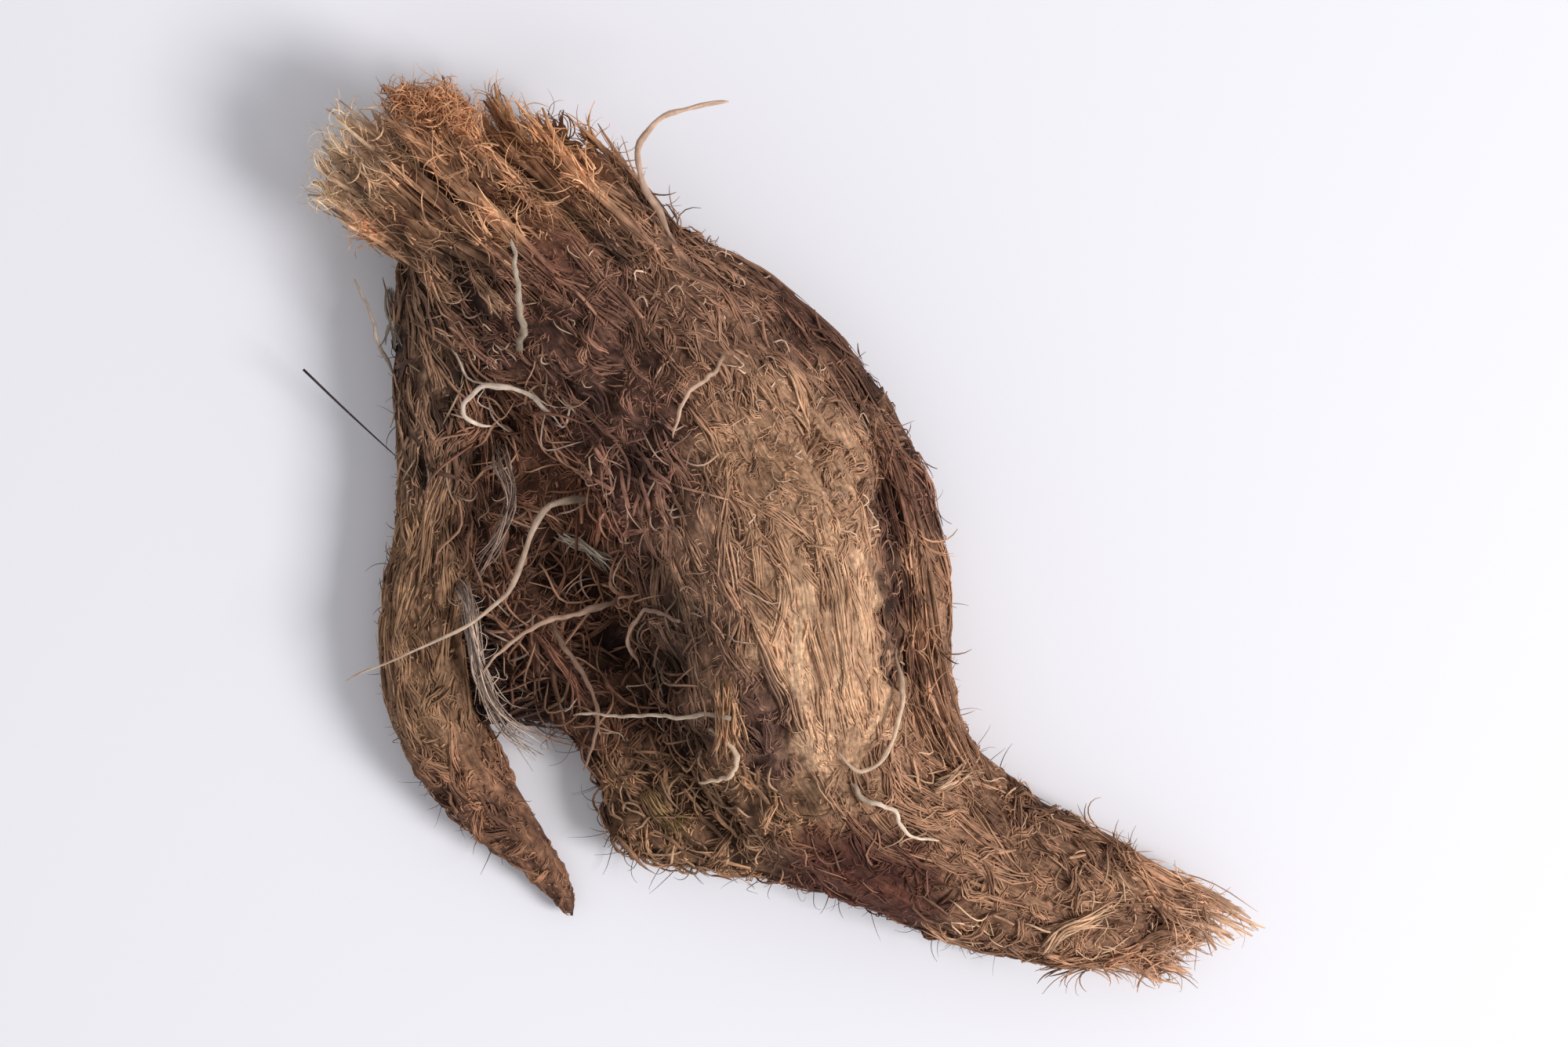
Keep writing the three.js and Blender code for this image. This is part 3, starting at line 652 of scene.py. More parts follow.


def even_copy(node):
    """A CAD node's surface as an evenly spaced mesh: points in mm, normals, face corners and face starts."""
    mesh = frame["nodes"][node].data.copy()
    mesh.transform(Matrix.Scale(1 / MM, 4))
    copy = placed(node + "_even", mesh)
    remesh = copy.modifiers.new("even", "REMESH")
    remesh.mode = "VOXEL"
    remesh.voxel_size = VOXEL
    soften = copy.modifiers.new("soften", "SMOOTH")
    soften.factor = 0.5
    soften.iterations = SMOOTHINGS
    made = bpy.data.meshes.new_from_object(copy.evaluated_get(bpy.context.evaluated_depsgraph_get()))
    bpy.data.objects.remove(copy)
    points, normals = np.empty((2, len(made.vertices) * 3))
    made.vertices.foreach_get("co", points)
    made.vertex_normals.foreach_get("vector", normals)
    corners, starts = np.empty(len(made.loops), int), np.empty(len(made.polygons), int)
    made.loops.foreach_get("vertex_index", corners)
    made.polygons.foreach_get("loop_start", starts)
    return points.reshape(-1, 3), normals.reshape(-1, 3), corners, starts


def shaped(points, normals):
    """Points of the skin moved out by the rise of their zones and in by the hollows and pits."""
    local = zones.weights(points)
    sunk = hollow_depth(points) + PIT_DEPTH * zones.value("pits", local) * pit_share(points)
    rise = zones.value("rise", local) - sunk * np.maximum(normals[:, 2], 0.2)
    above_table = np.clip((points[:, 2] - 0.5) / 2.5, 0, 1)
    return points + normals * (rise * above_table)[:, None]


def ridge_height(run, turn, lobe):
    """Ridges along the grain, from about -1 to 1, at a distance along a lobe and one round it."""
    coarse = noise.noise(Vector((0.16 * run, 1.1 * turn, 9.0 * lobe)))
    return coarse + 0.6 * noise.noise(Vector((0.4 * run, 2.6 * turn, 5.0 * lobe)))


points, normals, corners, starts = even_copy("rhizome")
points = shaped(points, normals)
coordinates = grain.coordinates(points)
ridges = np.array([ridge_height(*place) for place in coordinates])
ridged = points + normals * (RIDGE * ridges)[:, None]
ridged[:, 2] = np.maximum(ridged[:, 2], 0)
core_mesh = mesh_from("rhizome_body", ridged, corners, starts)
local = zones.weights(ridged)
core_share = np.clip(zones.value("core", local) + mottle(ridged, local) + PAINTED_RIDGE_LIGHT * ridges, 0, 1)
paint(core_mesh, zones.tone(local, core_share) * shade(ridged, local)[:, None] * SKIN_SHADE)
store(core_mesh, "Grain", "FLOAT_VECTOR", "vector", coordinates)
add_piece("rhizome_body", core_mesh, core_material("matted_skin"), ["rhizome"])


def face_area(face):
    """The area of a face of the skin, from its diagonals."""
    first = points[face[2]] - points[face[0]]
    second = points[face[-1]] - points[face[1]]
    return 0.5 * np.linalg.norm(np.cross(first, second))


# The surface that the coat lies on.
faces = np.split(corners, starts[1:])
skin = BVHTree.FromPolygons(points.tolist(), [face.tolist() for face in faces])
face_points = np.array([points[face].mean(0) for face in faces])
face_normals = unit(np.array([normals[face].mean(0) for face in faces]))
face_areas = np.array([face_area(face) for face in faces])
face_weights = zones.weights(face_points)


def settle(places):
    """The nearest places on the rhizome, with the normals there."""
    found = [skin.find_nearest(place) for place in places.reshape(-1, 3).tolist()]
    at = np.array([f[0] for f in found]).reshape(places.shape)
    return at, face_normals[[f[2] for f in found]].reshape(places.shape)


def top_at(x, y, fallback):
    """The height of the rhizome's upper side over a place on the table, or the fallback beside it."""
    top = skin.ray_cast(Vector((x, y, 30)), Vector((0, 0, -1)))[0]
    return top.z if top else fallback


def faces_in(names):
    """The places and normals of the faces mostly in the zones of these names, but for the lower side."""
    within = zones.share(names, face_weights) > 0.5
    chosen = within & (face_normals[:, 2] > -0.2) & (face_points[:, 2] > 0.6)
    return face_points[chosen], face_normals[chosen]


CAD_MARGIN, TOP_MARGIN = 1.0, 0.3  # how far fibres may stand outside the CAD box, sideways and upwards


def inside_box(points):
    low, high = np.array(cad_low) / MM, np.array(cad_high) / MM
    points[..., :2] = np.clip(points[..., :2], low[:2] - CAD_MARGIN, high[:2] + CAD_MARGIN)
    points[..., 2] = np.clip(points[..., 2], 0, high[2] + TOP_MARGIN)
    return points


# ---- The coat ----


def grow(rng, starts, normals, stride, steps, tangle, wander):
    """Lines that creep over the rhizome along its grain, from starts. tangle is how far each one's heading
    strays from the grain, and wander a field that bends them together."""
    here, up = starts.copy(), normals.copy()
    turn = rng.normal(size=len(starts)) * tangle
    sense = rng.choice([-1.0, 1.0], len(starts))
    heading = None
    paths, ups = [], []
    for _ in range(steps):
        paths.append(here)
        ups.append(up)
        with_grain = grain.direction(here) * sense[:, None]
        with_grain = unit(with_grain - up * (with_grain * up).sum(1, keepdims=True))
        bent = turn + wander(here) * (0.1 + 0.6 * tangle)
        aim = with_grain * np.cos(bent)[:, None] + np.cross(up, with_grain) * np.sin(bent)[:, None]
        heading = aim if heading is None else unit(0.6 * heading + 0.4 * aim)
        heading = unit(heading - up * (heading * up).sum(1, keepdims=True))
        here, up = settle(here + heading * stride[:, None])
    return np.stack(paths, 1), np.stack(ups, 1)


def along_lines(lines, shares):
    """Points at shares, [line, station] from 0 to 1, of lines whose own points are evenly spaced."""
    last = lines.shape[1] - 1
    at = np.clip(shares, 0, 1) * last
    low = np.minimum(at.astype(int), last - 1)
    part = (at - low)[..., None]
    row = np.arange(len(lines))[:, None]
    return lines[row, low] * (1 - part) + lines[row, low + 1] * part


def before_hem(paths):
    """The share of each line that runs before it crosses the felt's hem, from either side."""
    hem = np.array(HEM, float)
    floor = np.interp(paths[..., 0], hem[:, 0], hem[:, 1])
    felted = (paths[..., 0] > hem[0, 0]) & (paths[..., 0] < hem[-1, 0])
    below = paths[..., 1] < floor
    past = felted & (below != below[:, :1])
    first = np.where(past.any(1), past.argmax(1), paths.shape[1])
    return first / paths.shape[1]


# Each layer of the coat. guides: lines that creep along the grain, and children: the strands of the tuft
# that follows each. density: the zone value that says where the layer is thick. spread: half width of a
# tuft. flat: height of a strand against its width. pinch: how far a tuft closes towards its ends. tone: from
# the zone's dark to its light. waves: how much a tuft swings. loose: the share of strands with a free end.
COAT = {
    "under_coat": dict(
        guides=390, children=5, stations=7, length=(5, 10), half_width=(0.07, 0.17), flat=0.6, pinch=0.0,
        spread=0.7, lift=(-0.05, 0.06), tone=(0.05, 0.55), tangle=1.0, waves=0.5, loose=0.0, density="all"),
    "lock_coat": dict(
        guides=238, children=9, stations=9, length=(7, 13), half_width=(0.05, 0.11), flat=0.8, pinch=0.3,
        spread=0.42, lift=(0.0, 0.14), tone=(0.1, 1.0), tangle=0.6, waves=0.5, loose=0.01, density="locks"),
    "long_tuft_coat": dict(
        guides=250, children=9, stations=8, length=(3.5, 7), half_width=(0.04, 0.09), flat=0.8, pinch=0.6,
        spread=0.36, lift=(0.0, 0.25), tone=(0.1, 0.9), tangle=0.9, waves=1.0, loose=0.03, density="tufts"),
    "short_tuft_coat": dict(
        guides=325, children=8, stations=7, length=(2.2, 4.5), half_width=(0.035, 0.08), flat=0.8, pinch=0.6,
        spread=0.3, lift=(0.05, 0.35), tone=(0.2, 1.0), tangle=1.2, waves=0.8, loose=0.05, density="tufts"),
    "fine_coat": dict(
        guides=2120, children=2, stations=5, length=(1.2, 3.2), half_width=(0.025, 0.055), flat=0.9,
        pinch=0.0, spread=0.35, lift=(0.05, 0.3), tone=(0.25, 1.15), tangle=1.6, waves=0.5, loose=0.08,
        density="all"),
    "felted_coat": dict(
        guides=3000, children=2, stations=4, length=(0.5, 1.5), half_width=(0.03, 0.06), flat=0.9, pinch=0.0,
        spread=0.3, lift=(0.1, 0.35), tone=(0.1, 1.1), tangle=2.0, waves=0.0, loose=0.1, density="tufts"),
}
SUNKEN_ENDS = 0.15  # how far the ends of a strand go into the skin
THIN_BODY = 2.4  # tufts lie closer where the rhizome's half width is under this
LONG_GUIDE, LONG_STEPS, SHORT_STEPS = 4, 14, 7  # layers with guides longer than this give them more steps
FLAT_TUFT = 5  # a tuft with more strands than this is domed
TUFT_EDGE = 1.2  # the outermost strands of a tuft, in its half widths


def coat_starts(rng, count, density):
    """Places for strands, thicker on the upper side than below, with none on the rest faces or in hollows."""
    share = face_areas * (0.35 + 0.65 * np.maximum(face_normals[:, 2], 0)) * (face_points[:, 2] > 0.4)
    share = share * (1 - 0.8 * np.clip(hollow_depth(face_points), 0, 1))
    if density == "all":
        thickness = 0.1 + zones.value("locks", face_weights) + zones.value("tufts", face_weights)
        share = share * np.clip(thickness, 0, 1)
    else:
        share = share * zones.value(density, face_weights)
    chosen = rng.choice(len(share), count, p=share / share.sum())
    return face_points[chosen], face_normals[chosen]


def tuft_offsets(rng, layer, local, owner, at, share):
    """How far the strands of a layer lie beside the guide of their tuft, and how high over the skin. owner is
    the number of each strand's guide, and at the share of the guide that each station is at."""
    tufts, count = len(local), len(owner)
    turns, phase = rng.uniform(0.4, 1.3, tufts), rng.uniform(0, FULL_TURN, (2, tufts))
    own_turns, own_phase = rng.uniform(0.8, 2.5, (count, 1)), rng.uniform(0, FULL_TURN, (2, count, 1))
    tuft_swing = (zones.value("wave", local) * layer["waves"])[owner, None]
    own_swing = 0.22 * layer["spread"] * (0.4 + zones.value("tangle", local)[owner])

    def waves(which):
        tuft = swing(turns[owner, None], phase[which][owner, None], at)
        return tuft_swing * tuft + own_swing[:, None] * swing(own_turns, own_phase[which], share)

    place = np.clip(rng.normal(size=count) * 0.6, -TUFT_EDGE, TUFT_EDGE)
    arch = np.sin(np.pi * share) ** 0.6
    closing = 1 - layer["pinch"] * (1 - arch)
    sideways = layer["spread"] * place[:, None] * closing + waves(0)

    stand_off = zones.value("lift", local)[owner]
    lift = rng.uniform(*layer["lift"], tufts)[owner] * (0.5 + stand_off)
    dome = layer["spread"] * 0.7 * (1 - (place / TUFT_EDGE) ** 2) * rng.uniform(0.3, 1.0, count)
    dome = np.where(layer["children"] > FLAT_TUFT, dome, 0) * np.clip(0.35 + 2 * stand_off, 0, 1)
    height = (lift + dome)[:, None] * arch - SUNKEN_ENDS * (1 - arch) + 0.4 * waves(1) * arch
    loose = rng.random(count) < layer["loose"]
    height += np.where(loose, rng.uniform(0.2, 0.8, count), 0)[:, None] * share**3
    return sideways, height


def coat_tones(rng, layer, owner, lines, share):
    """The colours of a layer's strands, with the painted shade of the hollows, pits, clefts and patches along
    them. Those of a tuft share a part of their tone.
    """
    own_tone = rng.uniform(*layer["tone"], (2, len(owner)))
    middle = lines[:, lines.shape[1] // 2]
    local = zones.weights(middle)
    tone_share = 0.55 * own_tone[0, owner] + 0.45 * own_tone[1] + mottle(middle, local)
    fade = 0.88 + 0.2 * np.sin(np.pi * share)
    # painted shade at each station of each strand
    shades = np.stack([shade(lines[:, k], local) for k in range(lines.shape[1])], 1)
    return zones.tone(local, tone_share)[:, None] * fade[..., None] * shades[..., None]


def coat_layer(rng, layer):
    """The strands of a layer: their lines and ups, half widths and half heights, and colours."""
    starts, normals = coat_starts(rng, layer["guides"], layer["density"])
    local = zones.weights(starts)
    length = rng.uniform(*layer["length"], len(starts)) * zones.value("length", local)
    steps = LONG_STEPS if layer["length"][1] > LONG_GUIDE else SHORT_STEPS
    wander = Waves(rng, 3, 11)
    tangle = zones.value("tangle", local) * layer["tangle"]
    paths, ups = grow(rng, starts, normals, length / (steps - 1), steps, tangle, wander)
    whole = before_hem(paths)

    owner = np.repeat(np.arange(len(starts)), layer["children"])
    begin, end = rng.uniform(0, 0.25, len(owner)), rng.uniform(0.75, 1.0, len(owner))
    share = np.linspace(0, 1, layer["stations"])[None]
    at = (begin[:, None] + (end - begin)[:, None] * share) * whole[owner][:, None]
    lines, above = along_lines(paths[owner], at), unit(along_lines(ups[owner], at))
    across = unit(np.cross(above, unit(np.gradient(lines, axis=1))))
    slim = np.clip(grain.width(starts) / THIN_BODY, 0.3, 1)[owner, None]
    sideways, height = tuft_offsets(rng, layer, local, owner, at, share)
    offset = across * (sideways * slim)[..., None] + above * (height * slim)[..., None]
    lines = inside_box(lines + offset)

    tone = coat_tones(rng, layer, owner, lines, share)
    half = spindle(rng, layer["half_width"], len(owner), share, 0.75)
    kept = (whole[owner] > 0.25) & (hollow_depth(starts)[owner] < 0.9)
    return lines[kept], above[kept], half[kept], half[kept] * layer["flat"], tone[kept]


for number, (name, layer) in enumerate(COAT.items()):
    add_strands(name, coat_fibre, "rhizome_coat", number, coat_layer, [[layer]])

# ---- Bundles, hairs and their colours ----

SHADED_EDGE = 0.45  # painted shade: how much darker a strip is at its edges, so that it looks rounded


def node_line(node, count, foot):
    """The middle line of a long thin CAD piece as count stations of [x, y, z, half width], in mm, from the
    end that is nearer to foot. Each station is the mean of the mesh at one distance along it."""
    mesh = frame["nodes"][node].data
    corners = np.array([v.co for v in mesh.vertices]) / MM
    places, merged = np.unique(np.round(corners, 3), axis=0, return_inverse=True)
    merged = merged.ravel()
    near = [[] for _ in places]
    for edge in mesh.edges:
        a, b = merged[list(edge.vertices)]
        near[a].append(b)
        near[b].append(a)

    def distances(first):
        found = np.full(len(places), np.inf)
        found[first] = 0
        queue = [(0.0, first)]
        while queue:
            gone, here = heapq.heappop(queue)
            for following in near[here] if gone <= found[here] else ():
                total = gone + np.linalg.norm(places[following] - places[here])
                if total < found[following]:
                    found[following] = total
                    heapq.heappush(queue, (total, following))
        return found

    run = distances(int(distances(0).argmax()))
    run /= run.max()
    targets = np.linspace(0, 1, count)
    weights = np.exp(-(((run[None] - targets[:, None]) * (count - 1)) ** 2) / 0.5)
    weights /= weights.sum(1, keepdims=True)
    line = weights @ places
    side = unit(np.cross([0, 0, 1.0], unit(np.gradient(line, axis=0))))
    gaps = places[None] - line[:, None]
    half = 1.5 * (weights * np.abs((gaps * side[:, None]).sum(-1))).sum(1)
    line = np.c_[line, half]
    ends = np.linalg.norm(line[[0, -1], :3] - foot, axis=1)
    return line if ends[0] <= ends[1] else line[::-1]


def bundle(rng, line, count, half_width, flat, spread, stations, sides, ragged, wave, tone, height):
    """Strands that run side by side along a strip and dome over it by height. Their lengths differ by ragged,
    a share of the strip's, and wave is how far they swing."""
    share = np.linspace(0, 1, stations)
    begin, end = rng.uniform(0, 0.15, count), 1 + rng.uniform(-ragged, ragged * 0.3, count)
    shares = np.clip(begin[:, None] + (end - begin)[:, None] * share, 0, None)
    base = np.stack([resample(line, np.minimum(s, 1)) for s in shares])
    over = np.maximum(shares - 1, 0) * np.linalg.norm(np.diff(line[:, :3], axis=0), axis=1).sum()
    tip = unit(line[-1, :3] - line[-2, :3])
    paths = base[..., :3] + over[..., None] * tip
    tangents = unit(np.gradient(paths, axis=1) + 1e-9)
    across = unit(np.cross([0, 0, 1.0], tangents))
    above = np.cross(tangents, across)
    place = rng.uniform(-1, 1, count)
    drift = rng.normal(size=count) * 0.4
    phase = rng.uniform(0, FULL_TURN, (2, count, 1))
    turns = rng.uniform(0.5, 1.6, (count, 1))
    beside = (place[:, None] + drift[:, None] * share) * base[..., 3] * spread
    dome = np.sqrt(np.maximum(1 - place**2, 0)) * rng.uniform(-0.6, 1.0, count)
    curl = rng.normal(size=(count, 2)) * 0.5
    sideways = beside + wave * swing(turns, phase[0], share) + curl[:, :1] * share**4
    upwards = dome[:, None] * height + 0.7 * wave * swing(turns, phase[1], share)
    upwards = upwards + curl[:, 1:] * 0.6 * share**4
    paths = inside_box(paths + across * sideways[..., None] + above * upwards[..., None])
    half = spindle(rng, half_width, count, share, 0.7, 4)
    tones = tone(rng, count, paths) * (0.85 + 0.25 * np.sin(np.pi * share * 0.8))[None, :, None]
    # Painted shade at the edges of the strip.
    tones = tones * (1 - SHADED_EDGE * place**2)[:, None, None]
    return paths, above, half, half * flat, tones, sides


def hairs(rng, starts, headings, length, curl, half_width, tone, stations=10, droop=0.3):
    """Free hairs that leave the root in a heading and bend as they go."""
    count = len(starts)
    here, heading = starts.copy(), unit(headings)
    stride = rng.uniform(*length, count)[:, None] / (stations - 1)
    bend = rng.normal(size=(count, 3)) * curl
    paths = []
    for _ in range(stations):
        paths.append(here.copy())
        bend = bend + rng.normal(size=(count, 3)) * curl * 0.25
        heading = unit(heading + np.cross(bend, heading) * stride + [0, 0, -droop] * stride * 0.3)
        here = here + heading * stride
        here[:, 2] = np.maximum(here[:, 2], 0.08)
    paths = inside_box(np.stack(paths, 1))
    share = np.linspace(0, 1, stations)[None]
    half = rng.uniform(*half_width, count)[:, None] * (1 - 0.75 * share**2)
    tones = tone(rng, count, paths) * np.ones_like(share)[..., None]
    ups = np.broadcast_to(unit(rng.normal(size=(count, 1, 3)) * 0.3 + [0, 0, 1.0]), paths.shape)
    return paths, ups, half, half, tones


def plain_tone(dark, light):
    """Each strand has one colour from dark to light."""
    def tone(rng, count, paths):
        return mixed_colour(dark, light, rng.random(count)[:, None, None])
    return tone


def zone_tone(low, high):
    """Colours of the zones that a strand runs through, low to high from their dark to their light, with the
    painted shade there.
    """
    def tone(rng, count, paths):
        stations = paths.reshape(-1, 3)
        local = zones.weights(stations)
        share = np.repeat(rng.uniform(low, high, count), paths.shape[1]) + mottle(stations, local)
        return (zones.tone(local, share) * shade(stations, local)[:, None]).reshape(paths.shape)
    return tone


# ---- Leaf bases, torn fibre and the strap: pieces along the CAD's own strips ----

NECK_PLACE = np.array([-13, 12, 6.0])
TORN_PLACE = np.array([18, -24, 3.0])
STRAP_PLACE = np.array([4, 10, 8.0])
# ribbons: the flat strands of a strip, and hairs: its fine ones. reach: how far it is carried back over the
# rhizome. wide: half width of its ribbons. spread: how wide it lies, against the CAD's. ragged: how far the
# lengths differ. tone: from the zone's dark to its light. fuzz: the fine hairs of its torn tip. tufts: the
# small tufts on it. contrast: how much lighter and darker the strips are in turn.
STRIPS = {
    "upper_leaf_base": dict(
        count=10, foot=NECK_PLACE, reach=(0.0, 4.0), ribbons=9, hairs=10, wide=(0.12, 0.36), spread=0.72,
        ragged=0.22, tone=(0.25, 1.0), fuzz=30, tufts=20, contrast=0.2),
    "middle_leaf_base": dict(
        count=8, foot=NECK_PLACE, reach=None, ribbons=8, hairs=14, wide=(0.1, 0.26), spread=0.9,
        ragged=0.2, tone=(0.1, 0.8), fuzz=20, tufts=0, contrast=0.12),
    "lower_leaf_base": dict(
        count=6, foot=NECK_PLACE, reach=None, ribbons=8, hairs=14, wide=(0.1, 0.26), spread=0.9,
        ragged=0.2, tone=(0.05, 0.65), fuzz=12, tufts=0, contrast=0),
    "upper_torn_fibre": dict(
        count=4, foot=TORN_PLACE, reach=(3.5, 6.0), ribbons=15, hairs=16, wide=(0.1, 0.32), spread=1.1,
        ragged=0.35, tone=(0.3, 1.0), fuzz=16, tufts=16, contrast=0),
    "lower_torn_fibre": dict(
        count=3, foot=TORN_PLACE, reach=(2.0, 4.0), ribbons=12, hairs=12, wide=(0.1, 0.32), spread=1.1,
        ragged=0.35, tone=(0.25, 0.95), fuzz=10, tufts=10, contrast=0),
    "sheath_strap": dict(
        count=1, foot=STRAP_PLACE, reach=(0.5, 0.6), ribbons=26, hairs=50, wide=(0.08, 0.22), spread=0.95,
        ragged=0.25, tone=(0.15, 1.0), fuzz=10, tufts=34, contrast=0),
}
# These two leaf bases end short, over a bare patch of the neck.
SHORT_STRIPS = {"upper_leaf_base_06": 0.34, "upper_leaf_base_07": 0.3}
BROKEN_TIPS = {"middle_leaf_base_04": 0.72}  # what is left of a leaf base whose tip is broken off
STRIP_STATIONS, ROOTED_STATIONS, STRIP_LIFT = 14, 18, 0.3
FOOT_HAIRS = 14  # fine hairs that run from a strip's foot into the coat
TUFT_STRANDS = 6  # in each small tuft on a strip


def rooted(line, reach):
    """The line carried back from its foot over the rhizome by reach."""
    back = unit(line[0, :3] - line[1, :3])
    steps = np.linspace(reach, 0, 5)[:-1]
    places, ups = settle(line[0, :3] + back * steps[:, None])
    return np.vstack([np.c_[places + ups * STRIP_LIFT, np.full(len(steps), line[0, 3])], line])


def strip_line(rng, node, strip):
    """The middle line of a strip, carried back over the rhizome, or cut if it ends short or is broken."""
    line = smooth_line(node_line(node, 7, strip["foot"]), STRIP_STATIONS)
    if node in SHORT_STRIPS:
        line = resample(line, np.linspace(SHORT_STRIPS[node], 1, STRIP_STATIONS))
    elif strip["reach"]:
        line = smooth_line(rooted(line, rng.uniform(*strip["reach"])), ROOTED_STATIONS)
    if node in BROKEN_TIPS:
        line = resample(line, np.linspace(0, BROKEN_TIPS[node], STRIP_STATIONS))
    return line


def along_strip(line):
    return unit(line[-1, :3] - line[0, :3])


def strip_places(rng, line, count, shares, reach, sizes):
    """Random places in a strip, between two shares of its length and by up to reach of its half width."""
    feet = resample(line, rng.uniform(*shares, count))
    return feet[:, :3] + rng.uniform(-reach, reach, (count, 3)) * feet[:, 3:] * sizes


def strip_tufts(rng, line, count, low, high):
    """Small tufts that lie along a strip. The strands of a tuft start together and share a shade."""
    places = strip_places(rng, line, count, (0.02, 0.93), 0.62, [1, 1, 0])
    places[:, 2] += rng.uniform(0.1, 0.5, count)
    sense = rng.choice([-1.0, 1.0], (count, 1))
    headings = along_strip(line) * sense + scatter(rng, count, [0.26, 0.26, 0.06])
    owner = np.repeat(np.arange(count), TUFT_STRANDS)
    starts = places[owner] + scatter(rng, len(owner), [0.26, 0.26, 0.1])
    headings = headings[owner] + scatter(rng, len(owner), 0.12)
    shares = rng.uniform(low, high, count)[owner]
    tone = zone_tone(shares - 0.12, shares + 0.12)
    return hairs(rng, starts, headings, (1.2, 3.2), 0.32, (0.035, 0.09), tone, stations=7, droop=0.1)


def tip_fuzz(rng, line, count, tone):
    """The fine hairs round a strip's torn tip."""
    places = strip_places(rng, line, count, (0.72, 1.0), 1, [0.9, 0.9, 0.5])
    onward = unit(line[-1, :3] - line[-4, :3]) + scatter(rng, count, [0.5, 0.5, 0.3])
    return hairs(rng, places, onward, (0.8, 2.4), 0.7, (0.02, 0.045), tone, stations=7, droop=0.1)


def foot_hairs(rng, line, tone):
    """Fine hairs that run from a strip's foot back over the skin, sinking into the coat."""
    feet = strip_places(rng, line, FOOT_HAIRS, (0.0, 0.16), 0.7, [1, 1, 0.3])
    backward = scatter(rng, FOOT_HAIRS, [0.28, 0.28, 0.1]) - along_strip(line)
    paths, _, half, height, tones = hairs(
        rng, feet, backward, (0.8, 2.6), 0.4, (0.03, 0.07), tone, stations=7, droop=0.6)
    places, ups = settle(paths)
    return places + ups * np.linspace(0.5, 0.05, 7)[:, None], ups, half, height, tones


def add_strip(rng, node, strip, contrast):
    """One strip's ribbons, hairs, torn tip, small tufts and foot, as a piece that stands in for its node."""
    line = strip_line(rng, node, strip)
    own = rng.uniform(-0.12, 0.12) + contrast
    low, high = strip["tone"][0] + own, strip["tone"][1] + own
    tone, hair_tone = zone_tone(low, high), zone_tone(low + 0.1, high + 0.3)
    spread, ragged = strip["spread"], strip["ragged"]
    strands = Strands()
    strands.add(*bundle(
        rng, line, strip["ribbons"], half_width=strip["wide"], flat=0.5, spread=spread, stations=14, sides=4,
        ragged=ragged, wave=0.12, tone=tone, height=0.4))
    strands.add(*bundle(
        rng, line, strip["hairs"], half_width=(0.03, 0.07), flat=0.8, spread=spread * 1.3, stations=12,
        sides=3, ragged=ragged, wave=0.2, tone=hair_tone, height=0.6))
    strands.add(*tip_fuzz(rng, line, strip["fuzz"], hair_tone))
    if strip["tufts"]:
        strands.add(*strip_tufts(rng, line, strip["tufts"], low - 0.1, high + 0.3))
    strands.add(*foot_hairs(rng, line, tone))
    strands.piece(node + "_fibres", sheath_fibre, "leaf_sheath", [node])


for number, (name, strip) in enumerate(STRIPS.items()):
    for index in range(strip["count"]):
        node = name if strip["count"] == 1 else f"{name}_{index + 1:02d}"
        rng = np.random.default_rng([SEED, 20 + number, index])
        add_strip(rng, node, strip, strip["contrast"] * (-1) ** index)

# ---- The tuft ----

TUFT_FOOT = np.array([-26, 27, 8.4])
TUFT_CURLS, TUFT_STATIONS = 700, 7
TUFT_DARK, TUFT_LIGHT = (156, 98, 62), (236, 182, 138)
NEARLY_UP = [0.1, 0.2, 1.0]  # not quite upright, so that no strand runs along it


def tuft_curls(rng):
    """Short arcs of fibre that curl every way round the tuft's middle line, with painted light that makes
    them lighter towards its top.
    """
    low, high = (np.array(corner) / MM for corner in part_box("crown_tuft"))
    middles = resample(node_line("crown_tuft", 6, TUFT_FOOT), rng.beta(1.6, 1.6, TUFT_CURLS))
    centres = middles[:, :3] + scatter(rng, TUFT_CURLS, middles[:, 3:]) * [0.42, 0.42, 0.36]
    share = np.linspace(0, 1, TUFT_STATIONS)
    radius = rng.uniform(0.25, 0.9, (TUFT_CURLS, 1, 1))
    turn = rng.uniform(0, FULL_TURN, (TUFT_CURLS, 1))
    sweep = turn + rng.uniform(0.8, 2.6, (TUFT_CURLS, 1)) * (share - 0.5)
    lean = unit(scatter(rng, TUFT_CURLS, [1, 1, 0.6]))
    other = unit(np.cross(lean, rng.normal(size=(TUFT_CURLS, 3))))
    curls = lean[:, None] * np.cos(sweep)[..., None] + other[:, None] * np.sin(sweep)[..., None]
    curls = centres[:, None] + radius * (curls - curls.mean(1, keepdims=True))
    curls += unit(np.cross(lean, other))[:, None] * ((share - 0.5) * 0.7)[None, :, None]
    curls = inside_box(np.clip(curls, low - 0.5, high + 0.5))
    half = spindle(rng, (0.022, 0.06), TUFT_CURLS, share, 0.6)
    # Random tone, plus painted light that grows with height in the tuft.
    light = np.clip(rng.random(TUFT_CURLS) * 0.7 + 0.15 * (centres[:, 2] - low[2]), 0, 1)
    tones = np.repeat(mixed_colour(TUFT_DARK, TUFT_LIGHT, light[:, None])[:, None], TUFT_STATIONS, 1)
    return curls, np.broadcast_to(NEARLY_UP, curls.shape), half, half, tones


add_strands("crown_tuft_curls", sheath_fibre, "leaf_sheath", 30, tuft_curls, replaced=["crown_tuft"])

# ---- Rootlets ----

